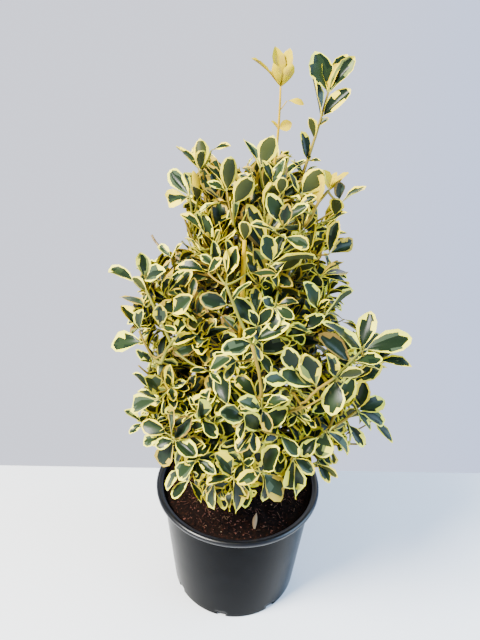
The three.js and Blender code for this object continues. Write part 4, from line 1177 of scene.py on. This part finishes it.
# Outer shoots
# The shoots that make the plant's outline and its front. Each grows on a twig of its own from the nearest
# limb or twig, and its leaves reach to the crown's outline where they are seen. A few young stems show too.
# Each shoot is its name, its tier, its foot, and its leaves: (tip, turn in degrees from facing the viewer,
# bend, width for its kind). Places are pixels of the photographed view.
OUTER_SHOOTS = (
    ("right spray end", "middle", (362, 351), (
        (371, 311, 20, 0.3, 1.0), (321, 322, 30, 0.9, 0.9), (380, 334, 150, 0.3, 1.0),
        (412, 338, 25, 0.5, 1.0),
    )),
    ("right spray middle", "middle", (351, 363), (
        (383, 359, 55, 0.5, 0.85), (318, 334, 20, 0.5, 0.95), (381, 372, 75, 0.5, 0.8),
    )),
    ("right spray thin leaves", "middle", (370, 364), ((412, 367, 80, 0.6, 0.8), (396, 352, 55, 0.3, 0.8))),
    ("right spray front", "middle", (336, 378), (
        (331, 416, 0, 0.2, 1.35), (364, 372, 125, 0.3, 1.1), (326, 353, 25, 0.3, 1.0),
    )),
    ("right middle leaves", "middle", (316, 387), ((305, 353, 20, 0.2, 1.1), (279, 372, 40, 0.3, 0.95))),
    ("right middle pale leaf", "middle", (296, 372), ((286, 347, 10, 0.2, 1.15),)),
    ("central right leaf", "middle", (289, 381), ((264, 380, 25, 0.3, 1.0),)),
    ("upper right dark leaves", "upper", (312, 332), ((286, 336, 40, 0.3, 1.1), (290, 327, 60, 0.2, 0.9))),
    ("right low small leaf", "lower", (304, 418), ((316, 428, 30, 0.4, 1.0),)),
    ("right low end", "lower", (357, 411), (
        (385, 400, 10, 0.4, 1.1), (380, 408, 60, 0.3, 0.9), (384, 424, 30, 0.7, 0.95),
        (371, 431, 30, 0.4, 1.0), (364, 380, 10, 0.2, 1.1),
    )),
    ("right low drooping", "lower", (373, 420), ((393, 443, 40, 0.4, 0.9),)),
    ("right low inner", "lower", (347, 423), ((364, 447, 20, 0.4, 0.95), (329, 431, 120, 0.2, 0.8))),
    ("right foot front", "skirt", (326, 430), ((320, 458, 0, 0.3, 1.65), (348, 455, 60, 0.4, 0.9))),
    ("right foot front behind", "skirt", (317, 437), ((302, 457, 20, 0.4, 1.3),)),
    ("right foot", "skirt", (316, 463), (
        (338, 478, 120, 0.3, 0.8), (330, 483, 30, 0.3, 0.9), (299, 472, 20, 0.4, 1.2),
    )),
    ("left foot", "skirt", (174, 440), (
        (155, 446, 15, 0.4, 1.3), (160, 465, 10, 0.3, 1.2), (197, 457, 10, 0.4, 1.3),
        (192, 416, 30, 0.4, 1.0), (174, 409, 75, 0.3, 0.9),
    )),
    ("left foot outer", "skirt", (168, 434), ((141, 424, 15, 0.5, 1.1),)),
    ("left foot edge", "lower", (142, 423), ((124, 410, 40, 0.4, 1.0), (129, 434, 15, 0.4, 1.15))),
    ("left foot edge behind", "skirt", (165, 437), ((143, 443, 20, 0.4, 1.0),)),
    ("left low", "lower", (158, 400), ((132, 407, 10, 0.4, 1.15), (138, 391, 70, 0.3, 0.9))),
    ("left low upper leaf", "lower", (160, 392), ((144, 377, 12, 0.3, 1.1),)),
    ("left low gold tip", "lower", (149, 389), ((133, 373, 55, 0.3, 0.8),)),
    ("front foot left", "skirt", (197, 459), ((216, 474, 15, 0.4, 1.0), (178, 478, 10, 0.4, 1.3))),
    ("front foot left low", "skirt", (180, 468), ((166, 489, 35, 0.3, 0.9),)),
    ("front foot left under", "skirt", (189, 480), ((172, 498, 35, 0.3, 1.1), (201, 503, 45, 0.3, 1.0))),
    ("front foot middle", "skirt", (233, 477), (
        (214, 453, 20, 0.3, 1.1), (206, 484, 40, 0.5, 1.0), (236, 512, 40, 0.3, 0.9),
        (250, 493, 50, 0.4, 0.9),
    )),
    ("front low", "lower", (262, 409), (
        (237, 401, 10, 0.4, 1.2), (270, 432, 10, 0.4, 1.2), (289, 400, 40, 0.5, 1.0),
    )),
    ("front low left", "lower", (246, 418), ((218, 413, 10, 0.3, 1.2), (240, 440, 30, 0.4, 1.1))),
    ("left upper shoot tip", "upper", (145, 280), ((141, 252, 15, 0.2, 1.1), (166, 271, 40, 0.5, 1.0))),
    ("left upper shoot", "upper", (148, 292), ((131, 278, 150, 0.2, 1.1),)),
    ("left upper outer leaf", "upper", (146, 307), ((120, 297, 60, 0.6, 0.9),)),
    ("left upper narrow leaf", "upper", (134, 282), ((109, 269, 55, 0.3, 0.9),)),
    ("left upper shoot foot", "upper", (160, 327), ((160, 304, 15, 0.2, 1.0), (176, 332, 40, 0.4, 1.0))),
    ("left middle shoot", "middle", (140, 331), ((121, 305, 25, 0.3, 1.0), (143, 309, 60, 0.2, 1.0))),
    ("left middle shoot foot", "middle", (144, 342), ((112, 343, 20, 0.4, 1.15), (154, 362, 60, 0.3, 0.9))),
    ("left middle low leaf", "middle", (153, 363), ((136, 349, 12, 0.3, 0.95), (140, 361, 50, 0.3, 0.8))),
    ("left middle rosette", "middle", (208, 371), (
        (232, 358, 35, 0.3, 1.0), (221, 384, 20, 0.3, 0.9), (190, 372, 30, 0.5, 1.0),
    )),
    ("left middle inner leaf", "middle", (236, 361), ((226, 381, 15, 0.3, 1.1),)),
    ("left inner", "upper", (172, 314), ((193, 296, 15, 0.3, 1.1),)),
    ("middle left leaf", "upper", (229, 305), ((199, 297, 5, 0.4, 1.35), (252, 282, 70, 0.3, 0.7))),
    ("upper left leaf", "upper", (208, 273), ((176, 267, 50, 0.5, 1.0), (222, 258, 30, 0.3, 1.0))),
    ("central shoot", "middle", (253, 343), (
        (290, 324, 45, 0.2, 0.9), (221, 352, 10, 0.4, 1.2), (261, 361, 60, 0.3, 1.0),
        (244, 358, 60, 0.3, 0.9),
    )),
    ("central rosette", "middle", (275, 307), (
        (262, 299, 30, 0.4, 1.0), (299, 303, 40, 0.8, 1.0), (294, 319, 10, 0.5, 1.1),
        (272, 331, 10, 0.5, 1.3),
    )),
    ("gold shoot tip", "crown", (245, 241), ((244, 221, 170, 0.1, 1.3),)),
    ("pale bent leaf", "crown", (275, 231), ((250, 225, 45, 0.6, 1.0),)),
    ("crown front", "crown", (283, 228), (
        (288, 203, 20, 0.1, 1.0), (309, 205, 60, 0.2, 1.1), (268, 193, 50, 0.2, 0.9),
    )),
    ("crown front dark leaf", "crown", (273, 263), ((263, 235, 20, 0.2, 1.2), (317, 259, 120, 0.4, 0.9))),
    ("crown front pale leaf", "crown", (284, 237), ((309, 248, 20, 0.4, 1.2),)),
    ("upper right leaf", "upper", (317, 310), ((303, 282, 50, 0.3, 0.9), (330, 300, 30, 0.3, 1.0))),
    ("upper right folded leaf", "upper", (325, 316), ((354, 290, 100, 0.2, 0.8),)),
    ("upper right tips", "upper", (320, 277), (
        (348, 285, 70, 0.4, 0.9), (347, 272, 60, 0.4, 0.9), (344, 262, 60, 0.3, 0.9),
    )),
    ("crown right", "crown", (329, 254), ((353, 241, 20, 0.2, 1.2), (339, 220, 20, 0.1, 1.0))),
    ("crown right small", "crown", (335, 216), ((337, 198, 170, 0.2, 1.3),)),
    ("crown right thin", "crown", (341, 203), ((366, 186, 78, 0.2, 0.8),)),
    ("upper middle leaf", "upper", (247, 273), ((278, 275, 60, 0.3, 0.9),)),
    ("upper middle upright", "upper", (227, 278), ((237, 246, 20, 0.2, 1.1), (226, 238, 75, 0.1, 0.8))),
    ("upper left upright", "upper", (215, 268), ((213, 240, 30, 0.1, 0.9), (200, 255, 50, 0.4, 1.0))),
    ("top left high", "top", (200, 171), (
        (176, 147, 60, 0.3, 0.8), (200, 138, 165, 0.1, 1.2), (203, 150, 160, 0.1, 1.4),
    )),
    ("top left high thin", "top", (211, 151), ((231, 146, 65, 0.6, 0.8),)),
    ("top left edge", "top", (190, 197), (
        (170, 170, 5, 0.2, 1.0), (167, 199, 8, 0.4, 1.2), (184, 172, 60, 0.2, 0.8),
    )),
    ("top left upright", "top", (227, 192), (
        (231, 156, 160, 0.1, 1.15), (206, 164, 65, 0.2, 0.8), (207, 182, 50, 0.3, 0.9),
    )),
    ("top left broad", "top", (233, 205), ((252, 178, 165, 0.1, 1.35),)),
    ("top middle", "top", (260, 168), ((243, 139, 65, 0.2, 0.8), (273, 135, 160, 0.1, 1.1))),
    ("top middle low", "top", (272, 185), ((285, 158, 20, 0.2, 1.0), (262, 160, 60, 0.2, 0.9))),
    ("top middle back", "top", (280, 195), ((283, 177, 165, 0.2, 1.5),)),
    ("top right broad", "top", (300, 195), ((324, 170, 165, 0.1, 1.35), (289, 172, 70, 0.1, 0.8))),
    ("top right under", "top", (298, 207), ((317, 197, 30, 0.5, 1.2),)),
    ("yellow leaves", "crown", (329, 191), (
        (348, 172, 60, 0.3, 1.0), (323, 170, 40, 0.2, 1.1), (337, 172, 50, 0.2, 1.0),
    )),
    ("yellow leaf beside", "crown", (317, 204), ((322, 174, 20, 0.2, 1.15),)),
    ("top right green", "crown", (339, 200), ((339, 181, 30, 0.1, 1.0),)),
    ("left notch thin", "crown", (204, 232), ((180, 214, 50, 0.2, 0.9), (196, 212, 60, 0.1, 0.8))),
    ("left notch low", "crown", (200, 250), ((187, 238, 60, 0.2, 0.9),)),
    ("left shoulder", "upper", (171, 258), ((159, 245, 20, 0.2, 1.1), (182, 243, 70, 0.2, 0.8))),
    ("front foot centre", "skirt", (262, 472), (
        (237, 484, 15, 0.4, 1.25), (283, 498, 12, 0.3, 1.2), (280, 448, 30, 0.2, 1.2),
        (264, 501, 60, 0.3, 0.8),
    )),
    ("front foot right", "skirt", (293, 458), (
        (294, 489, 5, 0.4, 1.35), (314, 473, 20, 0.4, 1.2), (295, 498, 55, 0.3, 0.8),
    )),
    ("front inner leaf", "lower", (279, 435), ((299, 456, 15, 0.3, 1.0),)),
    ("front middle right", "lower", (298, 414), ((288, 427, 20, 0.3, 1.1), (311, 421, 30, 0.4, 0.9))),
    ("front middle low", "lower", (253, 430), ((255, 453, 15, 0.3, 1.1), (237, 452, 40, 0.4, 1.1))),
    ("front left middle", "lower", (201, 419), ((217, 438, 15, 0.3, 1.2), (199, 399, 30, 0.2, 1.1))),
    ("front foot left tip", "skirt", (214, 482), ((213, 509, 35, 0.2, 0.9), (206, 494, 30, 0.3, 1.0))),
    ("front foot small leaf", "skirt", (232, 491), ((229, 509, 40, 0.2, 1.0),)),
)
YELLOW_SHOOTS = ("yellow leaves", "yellow leaf beside")
# Young stems that show in front of the leaves: (kind, radius at the foot, radius at the tip, its way)
SHOWING_STEMS = (
    ("tan", 0.0021, 0.0019, ((262, 398), (260, 376), (252, 345))),
    ("green", 0.0021, 0.0015, ((252, 345), (239, 318), (226, 285))),
    ("green", 0.0021, 0.0014, ((174, 350), (165, 330), (146, 290))),
    ("tan", 0.0016, 0.0012, ((154, 360), (145, 344), (139, 331))),
    ("green", 0.0018, 0.0015, ((162, 364), (166, 350), (174, 340))),
    ("tan", 0.0020, 0.0018, ((302, 406), (315, 391), (333, 379))),
    ("green", 0.0018, 0.0013, ((333, 379), (345, 367), (361, 351))),
    ("tan", 0.0022, 0.0016, ((327, 432), (341, 422), (356, 412))),
    ("tan", 0.0015, 0.0011, ((285, 413), (305, 408), (322, 398))),
    ("tan", 0.0021, 0.0017, ((311, 218), (317, 204), (328, 191))),
)
OUTER_SHOOT_RADII = (0.0014, 0.0010)
FIRST_SHOOT_ORDER = 60
CROWN_SPAN = (0.20, 0.74)
STEM_DEPTH = 1.0
FOOT_DEPTH = 0.93
TIP_DEPTH = 1.03
LONGEST_LEAF = 0.050
SIGHT_DEPTHS = np.arange(-0.180, 0.060, 0.001)


def on_crown(x, y, level):
    """The first point along a pixel's line of sight that is within this depth of the crown, or the
    innermost one where the line passes it by."""
    places = seen_at(x, y, SIGHT_DEPTHS)
    places = places[(places[:, 2] > CROWN_SPAN[0]) & (places[:, 2] < CROWN_SPAN[1])]
    out = depth_of(places)
    return places[np.argmax(out < level) if (out < level).any() else np.argmin(out)]


def tip_seen(x, y, base):
    """A leaf's tip on the crown's outline where it is seen. It comes no nearer and goes no further than a
    share of its run across the view, a smaller one where the leaf would be too long."""
    tip = on_crown(x, y, TIP_DEPTH)
    for share in (0.7, 0.5, 0.35, 0.2, 0.1, 0):
        run = tip - base
        most = share * math.hypot(run[0], run[2])
        if abs(run[1]) > most:
            tip = seen_at(x, y, base[1] + math.copysign(most, run[1]))
        if np.linalg.norm(tip - base) < LONGEST_LEAF:
            break
    return tip


def nearest_of(points, place):
    """The one of many points that is nearest to a place."""
    return points[np.argmin(np.linalg.norm(points - place, axis=-1))]


grown = np.concatenate([
    *[twig.line for twig in twig_rows if twig.spray != "yellow"],
    *[bend_at(bend, np.linspace(0.1, 1, 40)) for _, bend in masses[:-1]],
])
showing = {"green": [], "tan": []}
for kind, foot_radius, tip_radius, route in SHOWING_STEMS:
    foot = on_crown(*route[0], FOOT_DEPTH)
    end = on_crown(*route[-1], STEM_DEPTH)
    lengths = np.cumsum([0, *(math.dist(a, b) for a, b in zip(route[:-1], route[1:]))])
    nearness = foot[1] + (end[1] - foot[1]) * lengths / lengths[-1]
    seen = [seen_at(x, y, depth) for (x, y), depth in zip(route, nearness)]
    line = np.array([nearest_of(grown, foot), *seen])
    showing[kind].append(Twig(kind, 0, line, foot_radius, tip_radius))
    grown = np.concatenate([grown, bend_at(line[1:], np.linspace(0, 1, 20))])
for n, (name, tier, foot, leaves) in enumerate(OUTER_SHOOTS):
    base = on_crown(*foot, FOOT_DEPTH)
    start = nearest_of(grown, base)
    knee = (start + base) / 2 - np.array([0, 0, 0.15 * np.linalg.norm(base - start)])
    line = bend_at(np.stack([start, knee, base]), np.linspace(0, 1, 8))
    twig_rows.append(Twig(tier, FIRST_SHOOT_ORDER + n, line, *OUTER_SHOOT_RADII))
    for x, y, turn, bend, wide in leaves:
        tip = tip_seen(x, y, base)
        seen_leaf(tier, FIRST_SHOOT_ORDER + n, base, tip, turn, bend, wide, name in YELLOW_SHOOTS)

# Upright golden shoot
# A thicker golden shoot stands upright at the front of the crown.
GOLDEN_BEND = np.array([(-0.006, -0.104, 0.492), (-0.006, -0.122, 0.565), (-0.006, -0.109, 0.608)])
GOLDEN_RADII = (0.0030, 0.0023)
golden_line = bend_at(GOLDEN_BEND, np.linspace(0, 1, 8))

# Cut twig
# A bare brown twig at the left of the crown, cut off square above the leaves.
CUT_KNEE = (-0.112, -0.006, 0.554)
CUT_END = (-0.124, 0.000, 0.582)
CUT_RINGS = 20
CUT_SIDES = 10
CUT_RELIEF = 0.00018
cut_bend = np.stack([bend_at(mass_bend["crown_4"], 0.35), CUT_KNEE, CUT_END])
cut_line = bend_at(cut_bend, np.linspace(0, 1, CUT_RINGS))
cut_radii = ridged(np.linspace(0.0021, 0.0014, CUT_RINGS), CUT_RINGS, CUT_SIDES, 9, CUT_RELIEF)
cut_vertices, cut_faces = tubes(cut_line[None], cut_radii[None], CUT_SIDES)
cut_twig = mesh_piece("cut_twig", cut_vertices, cut_faces, [bark])
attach(cut_twig, "root")

# Twigs
# The thin twigs inside the sprays: young ones pale green, older ones tan, and the yellow leader's own stem.
TWIG_RINGS = 8
TWIG_SIDES = 6
GREEN_SHARE = 0.6


def young_twigs(name, twigs, shade):
    """Thin round twigs, tapering evenly from foot to tip, as one mesh."""
    steps = np.linspace(0, 1, TWIG_RINGS)
    lines = np.array([
        np.stack([np.interp(steps, np.linspace(0, 1, len(twig.line)), axis) for axis in twig.line.T], -1)
        for twig in twigs
    ])
    radii = np.array([np.linspace(twig.foot_radius, twig.tip_radius, TWIG_RINGS) for twig in twigs])
    vertices, faces = tubes(lines, radii, TWIG_SIDES)
    piece = mesh_piece(name, vertices, faces, [shade])
    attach(piece, "root")


in_sprays = [twig for twig in twig_rows if twig.spray != "yellow"]
green = [twig for twig in in_sprays if seeded(twig.order, 3, 7) < GREEN_SHARE] + showing["green"]
tan = [twig for twig in in_sprays if seeded(twig.order, 3, 7) >= GREEN_SHARE] + showing["tan"]
yellow = [twig for twig in twig_rows if twig.spray == "yellow"]
yellow.append(Twig("crown", 90, golden_line, *GOLDEN_RADII))
young_twigs("green_twigs", green, plain_material("green_twig", (0.190, 0.185, 0.022), 0.5, 0.1))
young_twigs("tan_twigs", tan, plain_material("tan_twig", (0.235, 0.165, 0.018), 0.6, 0.1))
yellow_wood = plain_material("yellow_twig", (0.480, 0.300, 0.000), 0.6, 0.05)
young_twigs("yellow_shoots", yellow, yellow_wood)

# Leaves
# The leaves themselves, all of one kind: cut from the same pattern of 52 corners, closed and a little thick.
# The corners are the stalk's foot, then rows of seven above and three below, and the tip.
LEAF_CORNERS = 52
ROW_CORNERS = 10
ABOVE_CORNERS = 7
TIP = LEAF_CORNERS - 1
UNDER_COLUMNS = np.array([0, 7, 8, 9, 6])
row_starts = 1 + ROW_CORNERS * np.arange(len(LEAF_ROWS))
last_row = row_starts[-1]
above_pairs = [(k, k + 1) for k in range(ABOVE_CORNERS - 1)]
below_pairs = list(zip(UNDER_COLUMNS[:-1], UNDER_COLUMNS[1:]))
leaf_faces = [
    np.array([(0, 1 + a, 1 + b) for a, b in above_pairs]),
    np.array([(0, 1 + b, 1 + a) for a, b in below_pairs]),
    np.array([(last_row + a, TIP, last_row + b) for a, b in above_pairs]),
    np.array([(last_row + a, last_row + b, TIP) for a, b in below_pairs]),
    np.array([
        (row + a, row + ROW_CORNERS + a, row + ROW_CORNERS + b, row + b)
        for row in row_starts[:-1] for a, b in above_pairs
    ]),
    np.array([
        (row + a, row + b, row + ROW_CORNERS + b, row + ROW_CORNERS + a)
        for row in row_starts[:-1] for a, b in below_pairs
    ]),
]
outline_corners = np.zeros(LEAF_CORNERS, bool)
outline_corners[np.concatenate([[0, TIP], row_starts, row_starts + ABOVE_CORNERS - 1])] = True

# How often a leaf's margin is each shade (cream, butter, gold, ochre): three kinds of spray, the older leaves
# inside the crown, and the young and the older leaves high up. The older leaves' mixes lean to darker gold
# and ochre, partly for their age and partly as painted shade deep in the crown.
MARGIN_MIXES = np.array([
    (0.66, 0.28, 0.05, 0.01),
    (0.48, 0.40, 0.10, 0.02),
    (0.34, 0.46, 0.16, 0.04),
    (0.06, 0.26, 0.42, 0.26),
    (0.34, 0.44, 0.20, 0.02),
    (0.08, 0.32, 0.46, 0.14),
])
OLD_SHADED_INSIDE, YOUNG_HIGH, OLD_SHADED_HIGH = 3, 4, 5
# A leaf counts as older and shaded this deep in the crown and below this height, and high up above the last
# height. Its darker margin there is partly painted shade.
OLDER_SHADED_DEPTH = 0.66
OLDER_SHADED_BELOW = 0.66
HIGH = 0.56
# The shades between a leaf's green middle and its margin, and how often each is taken
PATCHES = {"leaf_green": 0.34, "grey_green": 0.27, "sage": 0.09, "deep_green": 0.30}
# Where the colour borders run, as shares of a leaf's half width: the outer one, how far it comes in row by
# row, the inner one as a share of the outer, and the one border on the back
OUTER_BORDER = (0.68, 0.93)
BORDER_SHARES = np.array([1, 0.92, 1, 0.96, 0.62])
INNER_BORDER = (0.30, 0.78)
BACK_MARGIN = 0.70
# How leaves differ in shape: least and most fold in radians, usual twist in radians from foot to tip, how
# high the edge waves as a share of the length, and the least bend
FOLDS = (0.08, 0.60)
TWIST = 0.30
WAVE = 0.04
STRAIGHTEST = 0.05
# How often the middle is the deepest green, and how often high up
DEEP_MIDDLE, DEEP_MIDDLE_HIGH = 0.70, 0.42
# How often a face between the borders has turned to margin, how often high up, and how often it is else green
MARGIN_BETWEEN, MARGIN_BETWEEN_HIGH = 0.18, 0.36
GREEN_BETWEEN = 0.45
# How often such a face next to the tip is margin, how often a face in the middle is a patch, and how often
# a face of a yellow leaf is clear yellow
MARGIN_NEAR_TIP = 0.5
PATCH_IN_MIDDLE = 0.14
CLEAR_YELLOW = 0.8
# Where the shades of a leaf's faces part: the stalk above and below, the upper side, the under side, and the
# tip above and below
SHADE_ENDS = (6, 10, 34, 50, 56)


def leaf_bodies(base, direction, face, length, bend, wide, slim, rng):
    """Leaves as a midrib that bends back along a circle, C(t) = base + L (sin kt / k d - (1 - cos kt) / k n),
    with a cross-section of half width w(t) that folds up along the midrib by an angle, twists about it and
    waves at its edges. Across it stand the margin, two wandering colour borders and the midrib. A slim
    leaf's margin is half as wide."""
    count, many = len(base), len(LEAF_ROWS)
    rows = LEAF_ROWS[None, :]
    bend = np.where(np.abs(bend) < STRAIGHTEST, STRAIGHTEST, bend)[:, None]
    fold = rng.uniform(*FOLDS, count)[:, None]
    twist = rng.normal(0, TWIST, count)[:, None] * rows
    angle = bend * rows
    across = np.cross(face, direction)[:, None]
    ahead, above = direction[:, None], face[:, None]
    size = length[:, None, None]
    centre = base[:, None] + size * (
        (np.sin(angle) / bend)[..., None] * ahead - ((1 - np.cos(angle)) / bend)[..., None] * above
    )
    normal = np.sin(angle)[..., None] * ahead + np.cos(angle)[..., None] * above
    side = np.cos(twist)[..., None] * across + np.sin(twist)[..., None] * normal
    normal = np.cos(twist)[..., None] * normal - np.sin(twist)[..., None] * across
    half = (LEAF_HALF_WIDTHS[None, :] * wide[:, None] * length[:, None])[..., None]
    outer = rng.uniform(*OUTER_BORDER, (count, many, 2)) * BORDER_SHARES[None, :, None]
    outer = np.where(slim[:, None, None], (1 + outer) / 2, outer)
    inner = outer * rng.uniform(*INNER_BORDER, (count, many, 2))
    zero = np.zeros((count, many))
    one = np.ones((count, many))
    left, right = (-one, -outer[..., 0], -inner[..., 0]), (inner[..., 1], outer[..., 1], one)
    above_columns = np.stack([*left, zero, *right], -1)
    below_columns = np.broadcast_to(np.array([-BACK_MARGIN, 0, BACK_MARGIN]), (count, many, 3))
    columns = np.concatenate([above_columns, below_columns], -1)
    waves = rng.uniform(0, FULL_TURN, (count, 1, 1)) + 8 * rows[..., None] + 1.3 * columns
    wave = WAVE * np.sin(waves) * columns**2
    lift = np.abs(columns) * np.sin(fold)[..., None] * half + wave * length[:, None, None]
    lift = lift - np.array([0] * ABOVE_CORNERS + [1] * (ROW_CORNERS - ABOVE_CORNERS)) * LEAF_THICKNESS
    sideways = columns * np.cos(fold)[..., None] * half
    body = centre[:, :, None] + sideways[..., None] * side[:, :, None] + lift[..., None] * normal[:, :, None]
    end = base + length[:, None] * ((np.sin(bend) / bend) * direction - ((1 - np.cos(bend)) / bend) * face)
    return np.concatenate([base[:, None], body.reshape(count, -1, 3), end[:, None]], 1)


def leaf_colours(orders, older_and_shaded, high, slim, all_yellow, rng):
    """A shade for each face of each leaf, dealt out by spray: the margins from the spray's own mix, the
    middle deep green, and between them patches of grey-green, sage or leaf green, some gone to margin, more
    of them high in the crown, but not in the leaves with slim margins. The older leaves deep in the crown
    take darker gold and ochre margins above and gold ones behind, partly for their age and partly as painted
    shade."""
    count = len(orders)
    pale = high & ~slim
    by_spray = np.array([int(seeded(order, 5, 9) * 3) for order in orders])
    # The older, shaded leaves take the darker mixes: partly their age, partly painted shade.
    mix = np.where(high, np.where(older_and_shaded, OLD_SHADED_HIGH, YOUNG_HIGH), np.where(older_and_shaded, OLD_SHADED_INSIDE, by_spray))
    pick = rng.uniform(0, 1, count)[:, None]
    margin = (pick > np.cumsum(MARGIN_MIXES[mix], 1)).sum(1).clip(0, 3)[:, None]
    deepest = rng.uniform(0, 1, (count, 1)) < np.where(pale, DEEP_MIDDLE_HIGH, DEEP_MIDDLE)[:, None]
    green = np.where(deepest, shade_of["deep_green"], shade_of["leaf_green"])
    patch = rng.choice([shade_of[name] for name in PATCHES], (count, 1), p=list(PATCHES.values()))
    chance = rng.uniform(0, 1, (count, 4, 6))
    upper = np.empty((count, 4, 6), int)
    upper[:] = margin[:, :, None]
    gone = np.where(pale, MARGIN_BETWEEN_HIGH, MARGIN_BETWEEN)[:, None, None]
    between = np.where(chance < GREEN_BETWEEN, green[:, :, None], patch[:, :, None])
    between = np.where(chance < gone, margin[:, :, None], between)
    between[:, 3] = np.where(chance[:, 3] < MARGIN_NEAR_TIP, margin, between[:, 3])
    centre = np.where(chance < PATCH_IN_MIDDLE, patch[:, :, None], green[:, :, None])
    upper[:, :, [1, 4]] = between[:, :, [1, 4]]
    upper[:, :, [2, 3]] = centre[:, :, [2, 3]]
    under = np.full((count, 4, 4), shade_of["olive_back"])
    back_margin = np.where(high, shade_of["butter"], shade_of["cream_back"])
    # Painted shade, partly: the older leaves deep in the crown get gold margins on their backs.
    back_margin = np.where(older_and_shaded, shade_of["gold"], back_margin)
    under[:, :, [0, 3]] = back_margin[:, None, None]
    stalk = np.full((count, 10), shade_of["leaf_stalk"])
    tip = np.concatenate([np.repeat(margin, 6, 1), np.full((count, 4), shade_of["cream_back"])], 1)
    shades = np.concatenate([stalk, upper.reshape(count, -1), under.reshape(count, -1), tip], 1)
    clear = rng.uniform(0, 1, shades.shape) < CLEAR_YELLOW
    young = np.where(clear, shade_of["clear_yellow"], shade_of["gold"])
    return np.where(all_yellow[:, None], young, shades)


def leaf_piece(name, leaves, seed):
    """Many leaves as one closed mesh, smooth on both sides with a crisp outline."""
    rng = np.random.default_rng(seed)
    sprays, orders, base, direction, face, length, bend, wide, yellow = map(np.array, zip(*leaves))
    middles = [leaf.at + 0.5 * leaf.length * leaf.direction for leaf in leaves]
    # Leaves deep in the crown and below a height count as older and shaded. Their darker margins are partly
    # painted shade.
    older_and_shaded = np.array([depth_of(middle) < OLDER_SHADED_DEPTH for middle in middles]) & (base[:, 2] < OLDER_SHADED_BELOW)
    slim = sprays == "leader"
    vertices = leaf_bodies(base, direction, face, length, bend, wide, slim, rng).reshape(-1, 3)
    shades = leaf_colours(orders, older_and_shaded, base[:, 2] > HIGH, slim, yellow, rng)
    stalk_above, stalk_below, upper, under, tip_above, tip_below = np.split(shades, SHADE_ENDS, axis=1)
    parts = (stalk_above, stalk_below, tip_above, tip_below, upper, under)
    faces = repeated(leaf_faces, len(leaves), LEAF_CORNERS)
    piece = mesh_piece(name, vertices, faces, leaf_shades, np.concatenate([part.ravel() for part in parts]))
    ends = np.empty(len(piece.data.edges) * 2, np.int32)
    piece.data.edges.foreach_get("vertices", ends)
    on_outline = outline_corners[ends.reshape(-1, 2) % LEAF_CORNERS].all(1)
    piece.data.edges.foreach_set("use_edge_sharp", on_outline)
    piece.data.update()
    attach(piece, "root")
    return piece


for n, spray in enumerate(HABITS):
    kinds = (spray, "leader") if spray == "top" else (spray,)
    leaves = leaf_piece(f"{spray}_leaves", [leaf for leaf in leaf_rows if leaf.spray in kinds], 100 + n)
    starts = (spray, "right_leader") if spray == "top" else (spray,)
    held = [name for name, _ in masses if name.startswith(starts)]
    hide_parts(*[f"foliage_{name}" for name in held])
yellow_leaves = leaf_piece("yellow_shoot_leaves", [leaf for leaf in leaf_rows if leaf.spray == "yellow"], 120)
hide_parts("foliage_yellow_leader")
